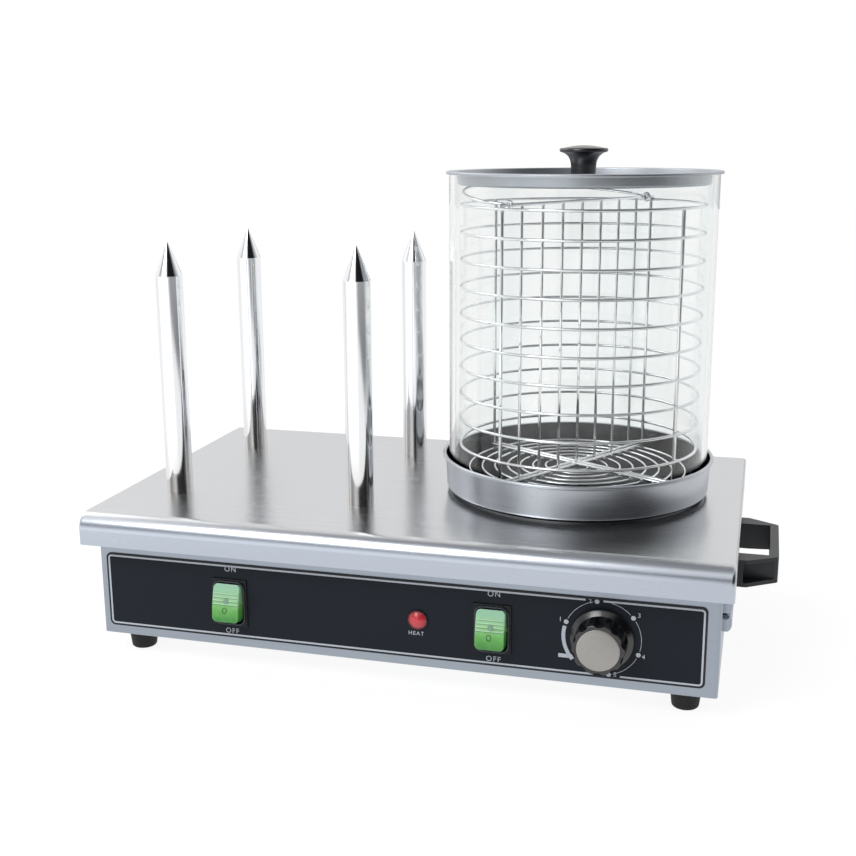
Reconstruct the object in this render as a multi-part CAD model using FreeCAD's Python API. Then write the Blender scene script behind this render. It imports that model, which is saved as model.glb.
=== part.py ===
"""Bun toaster and sausage steamer: four heated spikes and a glass steamer on one sheet-metal base.

Frame: millimetres, +Z up, +X to the right and +Y to the back of the machine.
The origin lies on the worktop, under the middle of the top plate.
"""
import FreeCAD, Part
import math
import os

# --- sheet-metal base ----------------------------------------------------------------------
SHEET = 1.0                     # stainless sheet of the base
PLATE_WIDTH = 474.0
PLATE_DEPTH = 290.0
PLATE_TOP = 114.0               # height of the working surface
APRON_HEIGHT = 23.6             # depth of the folded edge round the top plate
ROLL_RADIUS = 12.0              # bullnose along the front edge
EDGE_RADIUS = 2.5               # bend along the sides and the back
FRONT_SETBACK = 14.6            # from the apron to the front wall
SIDE_SETBACK = 8.0
BACK_SETBACK = 8.0              # from the apron to the back panel
WALL_BEND = 2.5                 # vertical bends of the front corners
BODY_BOTTOM = 16.6
FLANGE_WIDTH = 12.0             # flange folded in under the walls
COVER_INSET = 3.0               # bottom cover, in from the outside of the walls
BACK_LIP = 14.0                 # lip folded forward along the foot of the back panel

LOUVRE_LENGTH = 45.0
LOUVRE_HEIGHT = 12.6
LOUVRE_DEPTH = 6.0
LOUVRE_PITCH = 13.3
LOUVRE_ROWS = 2
LOUVRE_DROP = 8.4               # from the foot of the apron to the top row of louvres
LOUVRE_INSET = 22.5             # from the front or back wall to the nearer end of a louvre
LOUVRE_CROWN = 1.0              # fall of the hood's flat top towards its bend
LOUVRE_LIP_TURN = 1.6           # height of the bend at the hood's lip
LOUVRE_END_ROUND = 4.5          # rounding of the hood's closed ends
LOUVRE_SHOULDER = 0.55          # shares of the depth: where the flat top ends,
LOUVRE_BEND = 0.93              # the middle of the upper bend,
LOUVRE_LIP_BEND = 0.92          # the middle of the lower bend
LOUVRE_LIP = 0.62               # and the lip
LOUVRE_BEND_INSET = 0.6         # share of the sheet by which the upper bend is lower inside
COVER_SLOTS = 6
COVER_SLOT_LENGTH = 60.0
COVER_SLOT_WIDTH = 4.0
COVER_SLOT_PITCH = 14.0

FOOT_TOP_RADIUS = 11.2
FOOT_BOTTOM_RADIUS = 9.3
FOOT_SIDE_INSET = 22.0          # from the side wall to the middle of a foot
FOOT_FRONT_INSET = 20.0         # from the front or back wall to the middle of a foot
FOOT_ROUND = 2.0

# --- front panel and its controls -----------------------------------------------------------
PANEL_MARGIN = 7.3              # side wall to the panel, before its shift
PANEL_HEIGHT = 57.8
PANEL_SHIFT = -1.4              # the panel sits a little to the left on the front wall
PANEL_RISE = 6.6                # from the bottom of the walls to the panel
PANEL_THICKNESS = 0.8
PANEL_CORNER = 4.0

SWITCH_X = (-122.9, 74.6)
SWITCH_DROP = 0.9               # switches, below the middle of the panel
SWITCH_BEZEL = (27.4, 36.2)     # width, height
SWITCH_BODY = (25.0, 33.6)
SWITCH_WINDOW = (22.8, 31.6)
SWITCH_CORNER = 4.8             # round corners of the window
SWITCH_PROUD = 1.6              # bezel in front of the panel
COLLAR_PROUD = 1.2              # rounded collar in front of the bezel
COLLAR_WALL = 1.4
SWITCH_LENGTH = 26.0            # body behind the panel
SWITCH_FLOOR = 3.0
ROCKER_SIDE_GAP = 1.0
ROCKER_END_GAP = 1.5            # room for the ends when the rocker tilts
ROCKER_TILT = 12.0              # each way from level, in degrees
ROCKER_PROUD = 8.6              # its ends in front of the pins, when level
ROCKER_CROWN = 1.2              # bulge of the face between its two ends
ROCKER_EDGE = 0.8               # rounding round the face
CORNER_REACH = 0.1              # what rounds the rocker's corners is this much taller than the rocker
ROCKER_TAIL = 8.0               # rocker behind its pins
ROCKER_PIN_RADIUS = 1.5
PIVOT_DEPTH = 0.4               # pins behind the panel's face
FIT_GAP = 0.3                   # between parts that move past each other
RUNNING_GAP = 0.08              # radial, between a pin or shaft and its bore
HOLE_GAP = 0.25                 # radial, round bodies and screws in sheet holes

LAMP_X = 20.8
LAMP_BEZEL_RADIUS = 7.3
LAMP_LENS_RADIUS = 6.6
LAMP_BODY_RADIUS = 5.0
LAMP_BODY_LENGTH = 22.0
LAMP_PROUD = 1.4
LAMP_DOME = 3.2

DIAL_X = 150.9
SKIRT_RADIUS = 21.6
SKIRT_THICKNESS = 2.2
SKIRT_GAP = 2.8                 # knob clear of the panel
KNOB_DEPTH = 21.5               # panel to the knob's front edge
GRIP_RADIUS = 17.6
GRIP_DRAFT = 1.0                # the grip is this much slimmer at its front edge
SCALLOPS = 10
SCALLOP_RADIUS = 5.0
SCALLOP_BITE = 1.2
CAP_RIM = 1.1                   # width of the knob's front rim round the cap
CAP_SEAT = 1.5
CAP_DOME = 1.5
SHAFT_RADIUS = 3.0
SHAFT_FLAT = 2.0                # from the shaft's middle to its flat
KNOB_BOSS_RADIUS = 5.5
THERMOSTAT_BOX = (36.0, 30.0, 36.0)
THERMOSTAT_COLLAR_RADIUS = 4.5
THERMOSTAT_SCREW_PITCH = 28.0
THERMOSTAT_SCREW_HEAD = 2.9     # radius of the countersunk head
KNOB_FRONT_WALL = 6.0
KNOB_WALL = 4.0
SKIRT_CHAMFER = 1.1
KNOB_EDGE = 0.9                 # broken edge round the front of the grip
CAP_STEP = 0.3                  # cap's rim in front of the knob

# --- spikes -----------------------------------------------------------------------------------
SPIKE_PITCH = 150.0
SPIKES_X = -117.0
SPIKES_Y = 8.0
SPIKE_RADIUS = 10.3
SPIKE_WALL = 1.5
SPIKE_SHOULDER = 169.0          # plate to the foot of the cone
SPIKE_HEIGHT = 194.5
SPIKE_TIP_RADIUS = 0.7
SPIKE_BASE = 4.0                # solid foot of the tube
SPIKE_STUD_RADIUS = 6.0
SPIKE_STUD_LENGTH = 14.0
SPIKE_LEAD_RADIUS = 3.0
HEATER_GAP = 0.8                # between a heater and its tube
HEATER_LENGTH = 150.0
SPIKE_NUT_WIDTH = 18.0          # across the flats
SPIKE_NUT_HEIGHT = 6.0
SPIKE_WASHER_RADIUS = 11.5
SPIKE_WASHER_HEIGHT = 2.0

# --- steamer ----------------------------------------------------------------------------------
STEAMER_X = 108.8
STEAMER_Y = 18.0
HOT_PLATE_RADIUS = 94.0
HOT_PLATE_RIM = 2.0             # rim that lies on the top plate
HOT_PLATE_BODY_RADIUS = 78.0
HOT_PLATE_DEPTH = 9.0
HEATER_BAND = (44.0, 72.0)      # inner and outer radius of the flat heater
HEATER_BAND_HEIGHT = 6.0
CLAMP_WIDTH = 30.0
CLAMP_THICKNESS = 2.5
CLAMP_STUD_RADIUS = 3.0
CLAMP_STUD_SPACING = 60.0
BULB_RADIUS = 3.0
BULB_LENGTH = 70.0
BULB_OFFSET = 8.0               # beside the studs, under the clamp

PAN_SHEET = 0.8
PAN_HEIGHT = 28.0
PAN_GAP = 1.6                   # between the glass and the outside of the pan's wall
PAN_FLARE = 1.0                 # the wall is this much wider at its top
PAN_CORNER = 4.0
PAN_RIM = 2.3                   # rolled rim, out from the wall
PAN_RIM_DROP = 2.4              # rolled rim

GLASS_RADIUS = 100.0
GLASS_WALL = 4.0
GLASS_HEIGHT = 241.0
GLASS_EDGE = 1.5                # ground edges of the glass
GLASS_SEAT = 0.6                # the ground edge rides on the pan's corner, off its floor

LID_SHEET = 0.8
LID_OVERHANG = 2.4              # flange outside the glass
LID_HEM = 1.2                   # turned-down outer edge
DISH_GAP = 1.4                  # between the dish and the inside of the glass
DISH_DRAFT = 2.2                # the dish is this much narrower at its floor
DISH_DEPTH = 9.0
DISH_CORNER = 3.0
LID_KNOB_RADIUS = 18.0
LID_KNOB_NECK = 9.4
LID_KNOB_HEIGHT = 27.4
LID_KNOB_EDGE = 1.9             # thickness of the cap at its edge
LID_KNOB_DOME = 3.2
LID_KNOB_ROUND = 0.6             # rounding of the cap's edge
LID_KNOB_NECK_HEIGHT = 14.5
LID_SCREW_RADIUS = 2.0
LID_SCREW_HEAD = 4.2
LID_SCREW_HEAD_HEIGHT = 2.4
LID_SCREW_DEPTH = 12.0

# --- wire basket ------------------------------------------------------------------------------
WIRE = 1.1                      # wire radius of the hoops and the grid
POST_WIRE = 1.3
BAR_WIRE = 1.5
ROD_WIRE = 1.2
BAIL_WIRE = 1.2
WIRE_SIDES = 8                  # flats round a bent wire
CHORD_ERROR = 0.45              # how far a bent wire's short flats may leave its true circle
WELD_GAP = 0.02                 # between wires that are welded together
REST_GAP = 0.1                  # under what only stands in its place
HOOP_GAP = 5.0                  # from the inside of the glass to the middle of a hoop's wire
HOOP_COUNT = 10
TOP_HOOP_DROP = 23.6            # under the top of the glass
LOW_HOOP_RISE = 35.6            # above the floor of the pan
BASKET_TURN = 60.0              # direction of the divider, in degrees from +X
DIVIDER_WIRES = 7
GRID_RISE = 18.2                # above the floor of the pan
GRID_COUNT = 8
GRID_PITCH = 10.0
GRID_INSET = 7.0                # outermost ring of the grid, in from the hoops
BAIL_INSET = 1.0                # bail, in from the hoops
BAIL_TILT = 6.6                 # rise of the folded bail, in degrees
BAIL_CORNER = 0.04              # by how much the bail's two corners are thicker than its wire
BAIL_LEG_ANGLE = 12.0           # where the bail's arc ends, from the divider's line
EYE_INSET = 9.0                 # eyes of the bail, in from the hoops
EYE_PLAY = 0.3                  # radial play of an eye on the rod

# --- handles, gland and fixings --------------------------------------------------------------
HANDLE_DROP = 2.9               # under the foot of the apron
HANDLE_ROOT_HEIGHT = 20.4
HANDLE_TIP_HEIGHT = 19.6
HANDLE_Y = 4.0
HANDLE_ROOT_LENGTH = 104.4
HANDLE_TIP_LENGTH = 77.0
HANDLE_PAD = 14.0               # straight part of the root, out from the wall
HANDLE_REACH = 36.0             # wall to the outside of the grip
HANDLE_GRIP = 6.2               # thickness of the grip bar
HANDLE_OPENING = 72.4
HANDLE_CORNER = 3.0
POCKET_WALL = 3.0
POCKET_ROOT_RIM = 11.5          # rim of the pocket beside the wall
HANDLE_SCREW_RADIUS = 2.5
HANDLE_SCREW_SPACING = 88.0
HANDLE_SCREW_LENGTH = 9.0       # in the handle, short of its pocket
HANDLE_SCREW_HEAD = 4.6
HANDLE_SCREW_HEAD_HEIGHT = 2.8
GLAND_SIDE_INSET = 59.0         # from the side wall to the middle of the gland
GLAND_Z = 42.0
GLAND_FLANGE_RADIUS = 12.0
GLAND_FLANGE = 4.0
GLAND_BODY_RADIUS = 8.0
GLAND_NOSE_RADIUS = 6.0
GLAND_TAIL = 8.0                # body inside the base
GLAND_NOSE = 13.5
GLAND_BORE = 4.2
TERMINAL_BLOCK = (60.0, 22.0, 18.0)
TERMINAL_WAYS = 5
TERMINAL_HOLE_RADIUS = 1.8
SCREW_RADIUS = 1.75
FOOT_NUT_WIDTH = 6.5
FOOT_NUT_HEIGHT = 3.0
SCREW_HEAD_RADIUS = 3.4
SCREW_HEAD_HEIGHT = 2.0
SCREW_LENGTH = 7.0
BACK_SCREW_ROWS = (30.0, 64.0, 98.0)
COVER_SCREW_INSET = 44.0        # from the side wall to the outer screws in the back panel's lip
COVER_SCREW_Y = 60.0            # rows in the side flanges

# --- worked out from the sizes above --------------------------------------------------------
PLATE_FRONT = -PLATE_DEPTH / 2
PLATE_BACK = PLATE_DEPTH / 2
PLATE_UNDER = PLATE_TOP - SHEET
APRON_FOOT = PLATE_TOP - APRON_HEIGHT
WALL_X = PLATE_WIDTH / 2 - SIDE_SETBACK
FRONT = PLATE_FRONT + FRONT_SETBACK
BACK = PLATE_BACK - BACK_SETBACK - SHEET
PANEL_FACE = FRONT - PANEL_THICKNESS
PANEL_SIZE = (2 * (WALL_X - PANEL_MARGIN), PANEL_HEIGHT)
CONTROL_Z = BODY_BOTTOM + PANEL_RISE + PANEL_HEIGHT / 2
SWITCH_Z = CONTROL_Z - SWITCH_DROP
SWITCH_COLLAR = (SWITCH_WINDOW[0] + 2 * COLLAR_WALL, SWITCH_WINDOW[1] + 2 * COLLAR_WALL)
ROCKER_CORNER = SWITCH_CORNER - ROCKER_SIDE_GAP
ROCKER_SIZE = (SWITCH_WINDOW[0] - 2 * ROCKER_SIDE_GAP, SWITCH_WINDOW[1] - 2 * ROCKER_END_GAP)
PIVOT_Y = PANEL_FACE + PIVOT_DEPTH
CAP_RADIUS = GRIP_RADIUS - GRIP_DRAFT - KNOB_EDGE - CAP_RIM
HEATER_RADIUS = SPIKE_RADIUS - SPIKE_WALL - HEATER_GAP
COVER_UNDER = BODY_BOTTOM - SHEET
HOT_PLATE_TOP = PLATE_TOP + HOT_PLATE_RIM
HOT_PLATE_UNDER = PLATE_TOP - HOT_PLATE_DEPTH
PAN_FLOOR = HOT_PLATE_TOP + PAN_SHEET
PAN_BOTTOM_RADIUS = GLASS_RADIUS + PAN_GAP
PAN_TOP_RADIUS = PAN_BOTTOM_RADIUS + PAN_FLARE
PAN_RIM_RADIUS = PAN_TOP_RADIUS + PAN_RIM
GLASS_BORE = GLASS_RADIUS - GLASS_WALL
GLASS_BOTTOM = PAN_FLOOR + GLASS_SEAT
GLASS_TOP = GLASS_BOTTOM + GLASS_HEIGHT
LID_RADIUS = GLASS_RADIUS + LID_OVERHANG
DISH_TOP_RADIUS = GLASS_BORE - DISH_GAP
DISH_BOTTOM_RADIUS = DISH_TOP_RADIUS - DISH_DRAFT
LID_FLOOR = GLASS_TOP + LID_SHEET - DISH_DEPTH
HOOP_RADIUS = GLASS_BORE - HOOP_GAP
TOP_HOOP_Z = GLASS_TOP - TOP_HOOP_DROP
HOOP_PITCH = (TOP_HOOP_Z - PAN_FLOOR - LOW_HOOP_RISE) / (HOOP_COUNT - 1)
POST_CIRCLE = HOOP_RADIUS - WIRE - POST_WIRE - WELD_GAP
DIVIDER_PITCH = 2 * HOOP_RADIUS / (DIVIDER_WIRES + 1)
GRID_Z = PAN_FLOOR + GRID_RISE
BAIL_RADIUS = HOOP_RADIUS - BAIL_INSET
EYE_SPACING = 2 * (HOOP_RADIUS - EYE_INSET)
ROD_Z = TOP_HOOP_Z + WIRE + ROD_WIRE + WELD_GAP
BAR_SPACING = 2 * (POST_WIRE + BAR_WIRE + WELD_GAP)
BAR_LEVEL = GRID_Z - WIRE - BAR_WIRE - WELD_GAP
COVER_LIP_Z = BODY_BOTTOM + SHEET
HANDLE_TOP = APRON_FOOT - HANDLE_DROP
GLAND_X = WALL_X - GLAND_SIDE_INSET
SPIKE_PLACES = {
    "spike_front_left": (SPIKES_X - SPIKE_PITCH / 2, SPIKES_Y - SPIKE_PITCH / 2),
    "spike_front_right": (SPIKES_X + SPIKE_PITCH / 2, SPIKES_Y - SPIKE_PITCH / 2),
    "spike_back_left": (SPIKES_X - SPIKE_PITCH / 2, SPIKES_Y + SPIKE_PITCH / 2),
    "spike_back_right": (SPIKES_X + SPIKE_PITCH / 2, SPIKES_Y + SPIKE_PITCH / 2),
}
FOOT_PLACES = [(side * (WALL_X - FOOT_SIDE_INSET), y)
               for side in (-1, 1)
               for y in (FRONT + FOOT_FRONT_INSET, BACK - FOOT_FRONT_INSET)]
UP = FreeCAD.Vector(0, 0, 1)
ALONG_X = FreeCAD.Vector(1, 0, 0)
ALONG_Y = FreeCAD.Vector(0, 1, 0)
TINY = 1e-6                     # tolerance when edges are picked by their place


# --- helpers ------------------------------------------------------------------------------------
def vec(x, y, z):
    return FreeCAD.Vector(x, y, z)


def block(x0, x1, y0, y1, z0, z1):
    """A box between two corners."""
    return Part.makeBox(x1 - x0, y1 - y0, z1 - z0, vec(x0, y0, z0))


def rounded_block(x, z, size, corner, y0, y1):
    """A block about a point of the front, with round corners seen from the front."""
    width, height = size
    made = block(x - width / 2, x + width / 2, y0, y1, z - height / 2, z + height / 2)
    return made.makeFillet(corner, [e for e in made.Edges if e.BoundBox.YLength > TINY])


def disc(x, y, z0, z1, radius):
    """An upright cylinder."""
    return Part.makeCylinder(radius, z1 - z0, vec(x, y, z0))


def along_y(x, z, y0, y1, radius):
    """A cylinder along Y."""
    return Part.makeCylinder(radius, y1 - y0, vec(x, y0, z), ALONG_Y)


def along_x(y, z, x0, x1, radius):
    """A cylinder along X."""
    return Part.makeCylinder(radius, x1 - x0, vec(x0, y, z), ALONG_X)


def straight_wire(start, end, radius):
    """A round wire between two points."""
    span = end - start
    return Part.makeCylinder(radius, span.Length, start, span)


def prism(points, travel):
    """A flat outline, extruded."""
    outline = Part.makePolygon(points + [points[0]])
    return Part.Face(outline).extrude(travel)


def profile_face(edges):
    return Part.Face(Part.Wire(edges))


def turned(points, x, y, z):
    """A body of revolution about an upright axis, from (radius, height) points."""
    outline = [vec(r, 0, h) for r, h in points]
    face = Part.Face(Part.makePolygon(outline + [outline[0]]))
    solid = face.revolve(vec(0, 0, 0), UP, 360)
    solid.translate(vec(x, y, z))
    return solid


def cap_middle(radius, rise):
    """Halfway point of a shallow ball cap's profile, as radius and height above its edge."""
    ball = (radius ** 2 + rise ** 2) / (2 * rise)
    half = math.asin(radius / ball) / 2
    return ball * math.sin(half), ball * math.cos(half) - (ball - rise)


def upright_edges(shape, low, high):
    """The straight upright edges that span the heights low to high."""
    found = []
    for edge in shape.Edges:
        box = edge.BoundBox
        upright = box.XLength < TINY and box.YLength < TINY
        if upright and abs(box.ZMin - low) < TINY and abs(box.ZMax - high) < TINY:
            found.append(edge)
    return found


def circles_at(shape, height, radius=None):
    """The round edges that lie flat at one height."""
    found = []
    for edge in shape.Edges:
        box = edge.BoundBox
        if box.ZLength > TINY or abs(box.ZMin - height) > TINY or not hasattr(edge.Curve, "Radius"):
            continue
        if radius is None or abs(edge.Curve.Radius - radius) < TINY:
            found.append(edge)
    return found


def bent_wire(centre, across, along, radius, wire, start=0.0, end=360.0):
    """A wire bent to an arc in the plane of two unit vectors, in short straight flats."""
    sweep = math.radians(end - start)
    whole = end - start >= 360.0
    flats = math.ceil(sweep / (2 * math.acos(1 - CHORD_ERROR / radius)))
    if whole:
        flats = 4 * math.ceil(flats / 4)
    normal = across.cross(along)
    sections = []
    for step in range(flats if whole else flats + 1):
        angle = math.radians(start) + sweep * step / flats
        outward = across * math.cos(angle) + along * math.sin(angle)
        ring = []
        for side in range(WIRE_SIDES):
            turn = 2 * math.pi * (side + 0.5) / WIRE_SIDES
            reach = wire / math.cos(math.pi / WIRE_SIDES)
            offset = outward * (reach * math.cos(turn)) + normal * (reach * math.sin(turn))
            ring.append(centre + outward * radius + offset)
        sections.append(ring)
    following = sections[1:] + sections[:1] if whole else sections[1:]
    faces = []
    for near, far in zip(sections, following):
        for side in range(WIRE_SIDES):
            beside = (side + 1) % WIRE_SIDES
            corners = [near[side], near[beside], far[beside], far[side], near[side]]
            faces.append(Part.Face(Part.makePolygon(corners)))
    if not whole:
        for ring in (sections[0], sections[-1]):
            faces.append(Part.Face(Part.makePolygon(ring + [ring[0]])))
    solid = Part.makeSolid(Part.makeShell(faces))
    if solid.Volume < 0:
        solid.reverse()
    return solid


def screw(place, direction, radius, length, head_radius, head_height):
    """A pan-head screw: direction points from the head's seat to the tip."""
    shank = Part.makeCylinder(radius, length, place, direction)
    head = Part.makeCylinder(head_radius, head_height, place - direction * head_height, direction)
    return shank.fuse(head).removeSplitter()


def hexagon_nut(x, y, z0, width, height, bore):
    across = width / math.sqrt(3)
    corners = []
    for side in range(6):
        turn = math.radians(60 * side)
        corners.append(vec(x + across * math.cos(turn), y + across * math.sin(turn), z0))
    return prism(corners, vec(0, 0, height)).cut(disc(x, y, z0, z0 + height, bore))


# --- sheet-metal base ---------------------------------------------------------------------------
def top_plate():
    """Folded top: bullnose front, thin bends at the sides and back, holes for what passes through."""
    half = PLATE_WIDTH / 2
    tray = block(-half, half, PLATE_FRONT, PLATE_BACK, APRON_FOOT, PLATE_TOP)
    front_edge = [e for e in tray.Edges
                  if e.BoundBox.ZMin > PLATE_TOP - TINY and e.BoundBox.YMax < PLATE_FRONT + TINY]
    tray = tray.makeFillet(ROLL_RADIUS, front_edge)
    other_edges = [e for e in tray.Edges
                   if e.BoundBox.ZMax > APRON_FOOT + TINY and e.BoundBox.XLength < TINY
                   or e.BoundBox.ZMin > PLATE_TOP - TINY and e.BoundBox.YMin > PLATE_BACK - TINY]
    tray = tray.makeFillet(EDGE_RADIUS, other_edges)
    underside = [f for f in tray.Faces if f.BoundBox.ZMax < APRON_FOOT + TINY]
    plate = tray.makeThickness(underside, -SHEET, 1e-3)
    holes = [disc(x, y, APRON_FOOT, PLATE_TOP + SHEET, SPIKE_STUD_RADIUS + HOLE_GAP)
             for x, y in SPIKE_PLACES.values()]
    holes.append(disc(STEAMER_X, STEAMER_Y, APRON_FOOT, PLATE_TOP + SHEET, HOT_PLATE_BODY_RADIUS + HOLE_GAP))
    return plate.cut(holes)


def louvre_rows():
    """Front ends and tops of the pressed louvres, the same on both side walls."""
    for row in range(LOUVRE_ROWS):
        top = APRON_FOOT - LOUVRE_DROP - row * LOUVRE_PITCH
        yield FRONT + LOUVRE_INSET, top
        yield BACK - LOUVRE_INSET - LOUVRE_LENGTH, top


def louvre_bulge(side, y, top, inset):
    """What one louvre pushes out of a side wall, less the sheet when inset: open below, round ends."""
    wall = side * WALL_X
    back = wall - side * (SHEET + inset)
    out = side * (LOUVRE_DEPTH - inset)
    foot = top - LOUVRE_HEIGHT
    start = vec(back, y + inset, top - inset)
    shoulder = vec(wall + out * LOUVRE_SHOULDER, y + inset, top - LOUVRE_CROWN - inset)
    bend = vec(wall + out * LOUVRE_BEND, y + inset, top - 3 * LOUVRE_CROWN - inset * LOUVRE_BEND_INSET)
    belly = vec(wall + out, y + inset, top - LOUVRE_HEIGHT / 2)
    lip_bend = vec(wall + out * LOUVRE_LIP_BEND, y + inset, foot + LOUVRE_LIP_TURN)
    lip = vec(wall + out * LOUVRE_LIP, y + inset, foot)
    heel = vec(back, y + inset, foot)
    edges = [
        Part.LineSegment(start, shoulder).toShape(),
        Part.Arc(shoulder, bend, belly).toShape(),
        Part.Arc(belly, lip_bend, lip).toShape(),
        Part.LineSegment(lip, heel).toShape(),
        Part.LineSegment(heel, start).toShape(),
    ]
    length = LOUVRE_LENGTH - 2 * inset
    bulge = profile_face(edges).extrude(vec(0, length, 0))
    outside = wall + out + side * SHEET
    cutter = block(min(back, outside), max(back, outside), y + inset, y + inset + length, foot, top - inset)
    outer_edges = [e for e in upright_edges(cutter, foot, top - inset) if abs(e.BoundBox.XMin) > WALL_X]
    top_edges = [e for e in cutter.Edges
                 if e.BoundBox.XLength > TINY and e.BoundBox.ZMin > top - inset - TINY]
    rounding = LOUVRE_END_ROUND - inset
    bulge = bulge.common(cutter.makeFillet(rounding, outer_edges))
    return bulge.common(cutter.makeFillet(rounding, top_edges))


def front_openings(start, end):
    """What the front wall and the panel leave open for the controls."""
    cuts = []
    for x in SWITCH_X:
        width = SWITCH_BODY[0] / 2 + HOLE_GAP
        height = SWITCH_BODY[1] / 2 + HOLE_GAP
        cuts.append(block(x - width, x + width, start, end, SWITCH_Z - height, SWITCH_Z + height))
    cuts.append(along_y(LAMP_X, CONTROL_Z, start, end, LAMP_BODY_RADIUS + HOLE_GAP))
    cuts.append(along_y(DIAL_X, CONTROL_Z, start, end, THERMOSTAT_COLLAR_RADIUS + HOLE_GAP))
    return cuts


def body_shell():
    """Front and side walls from one folded sheet, flanged below and behind, with pressed louvres."""
    outer = block(-WALL_X, WALL_X, FRONT, BACK, BODY_BOTTOM, PLATE_UNDER)
    corners = [e for e in upright_edges(outer, BODY_BOTTOM, PLATE_UNDER) if e.BoundBox.YMax < 0]
    outer = outer.makeFillet(WALL_BEND, corners)
    inner = block(-WALL_X + SHEET, WALL_X - SHEET, FRONT + SHEET, BACK - SHEET,
                  BODY_BOTTOM + SHEET, PLATE_UNDER)
    inner_corners = [e for e in upright_edges(inner, BODY_BOTTOM + SHEET, PLATE_UNDER)
                     if e.BoundBox.YMax < 0]
    inner = inner.makeFillet(WALL_BEND - SHEET, inner_corners)
    reach = WALL_X - FLANGE_WIDTH
    floor_hole = block(-reach, reach, FRONT + FLANGE_WIDTH, BACK, BODY_BOTTOM, BODY_BOTTOM + SHEET)
    back_hole = block(-reach, reach, BACK - SHEET, BACK, BODY_BOTTOM, PLATE_UNDER)
    shell = outer.cut([inner, floor_hole, back_hole])
    louvres = [(side, y, top) for side in (-1, 1) for y, top in louvre_rows()]
    bulges = [louvre_bulge(side, y, top, 0) for side, y, top in louvres]
    hollows = [louvre_bulge(side, y, top, SHEET) for side, y, top in louvres]
    openings = front_openings(FRONT - SHEET, FRONT + 2 * SHEET) + back_screw_holes()
    for z in thermostat_screw_heights():
        openings.append(countersink(z, HOLE_GAP))
    for side, y in handle_screw_places():
        start = min(side * WALL_X, side * (WALL_X - 2 * SHEET))
        openings.append(along_x(y, handle_screw_z(), start, start + 2 * SHEET,
                                HANDLE_SCREW_RADIUS + HOLE_GAP))
    for x, y in cover_screw_places():
        openings.append(disc(x, y, BODY_BOTTOM, BODY_BOTTOM + SHEET, SCREW_RADIUS + HOLE_GAP))
    shell = shell.fuse(bulges).cut(hollows)
    return shell.cut(openings).removeSplitter()


def back_panel():
    """Flat back sheet over the flanges of the side walls, with a lip along its foot."""
    sheet = block(-WALL_X, WALL_X, BACK, BACK + SHEET, BODY_BOTTOM, PLATE_UNDER)
    reach = WALL_X - FLANGE_WIDTH - FIT_GAP
    lip = block(-reach, reach, BACK - BACK_LIP, BACK, BODY_BOTTOM, COVER_LIP_Z)
    holes = [along_y(GLAND_X, GLAND_Z, BACK - SHEET, BACK + 2 * SHEET, GLAND_BODY_RADIUS + HOLE_GAP)]
    for x, y in cover_screw_places():
        holes.append(disc(x, y, BODY_BOTTOM, COVER_LIP_Z, SCREW_RADIUS + HOLE_GAP))
    return sheet.fuse(lip).cut(holes + back_screw_holes()).removeSplitter()


def bottom_cover():
    """Flat cover under the flanges, with two banks of air slots."""
    x = WALL_X - COVER_INSET
    sheet = block(-x, x, FRONT + COVER_INSET, BACK, COVER_UNDER, BODY_BOTTOM)
    cuts = []
    for bank in (SPIKES_X, STEAMER_X):
        for slot in range(COVER_SLOTS):
            y = (slot - (COVER_SLOTS - 1) / 2) * COVER_SLOT_PITCH
            half = COVER_SLOT_LENGTH / 2
            cuts.append(block(bank - half, bank + half, y - COVER_SLOT_WIDTH / 2,
                              y + COVER_SLOT_WIDTH / 2, COVER_UNDER, BODY_BOTTOM))
    for px, py in FOOT_PLACES + cover_screw_places():
        cuts.append(disc(px, py, COVER_UNDER, BODY_BOTTOM, SCREW_RADIUS + HOLE_GAP))
    return sheet.cut(cuts)


def feet():
    """Four rubber feet, wider where they meet the cover, each with a deep screw hole."""
    made = []
    for x, y in FOOT_PLACES:
        foot = Part.makeCone(FOOT_BOTTOM_RADIUS, FOOT_TOP_RADIUS, COVER_UNDER, vec(x, y, 0))
        foot = foot.makeFillet(FOOT_ROUND, circles_at(foot, 0))
        well = disc(x, y, 0, COVER_UNDER / 2, SCREW_HEAD_RADIUS + HOLE_GAP)
        hole = disc(x, y, 0, COVER_UNDER, SCREW_RADIUS + HOLE_GAP)
        made.append(foot.cut([well, hole]))
    return Part.makeCompound(made)


def foot_screws():
    length = COVER_UNDER / 2 + SHEET + FOOT_NUT_HEIGHT + SCREW_RADIUS
    made = [screw(vec(x, y, COVER_UNDER / 2), UP, SCREW_RADIUS, length, SCREW_HEAD_RADIUS, SCREW_HEAD_HEIGHT)
            for x, y in FOOT_PLACES]
    return Part.makeCompound(made)


def foot_nuts():
    """Nuts of the feet, on top of the bottom cover."""
    return Part.makeCompound([
        hexagon_nut(x, y, BODY_BOTTOM, FOOT_NUT_WIDTH, FOOT_NUT_HEIGHT, SCREW_RADIUS + RUNNING_GAP)
        for x, y in FOOT_PLACES])


def cover_screw_places():
    """Screws that hold the bottom cover to the side flanges and to the back panel's lip."""
    side = WALL_X - FLANGE_WIDTH / 2 - SHEET
    reach = WALL_X - COVER_SCREW_INSET
    places = [(x, y) for x in (-side, side) for y in (-COVER_SCREW_Y, COVER_SCREW_Y)]
    return places + [(x, BACK - BACK_LIP / 2) for x in (-reach, 0, reach)]


def cover_screws():
    made = [screw(vec(x, y, COVER_UNDER), UP, SCREW_RADIUS, SCREW_LENGTH,
                  SCREW_HEAD_RADIUS, SCREW_HEAD_HEIGHT) for x, y in cover_screw_places()]
    return Part.makeCompound(made)


# --- front panel and its controls ---------------------------------------------------------------
def control_panel():
    """Thin printed panel on the front wall, with rounded corners."""
    sheet = rounded_block(PANEL_SHIFT, CONTROL_Z, PANEL_SIZE, PANEL_CORNER, PANEL_FACE, FRONT)
    return sheet.cut(front_openings(PANEL_FACE, FRONT))


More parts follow.
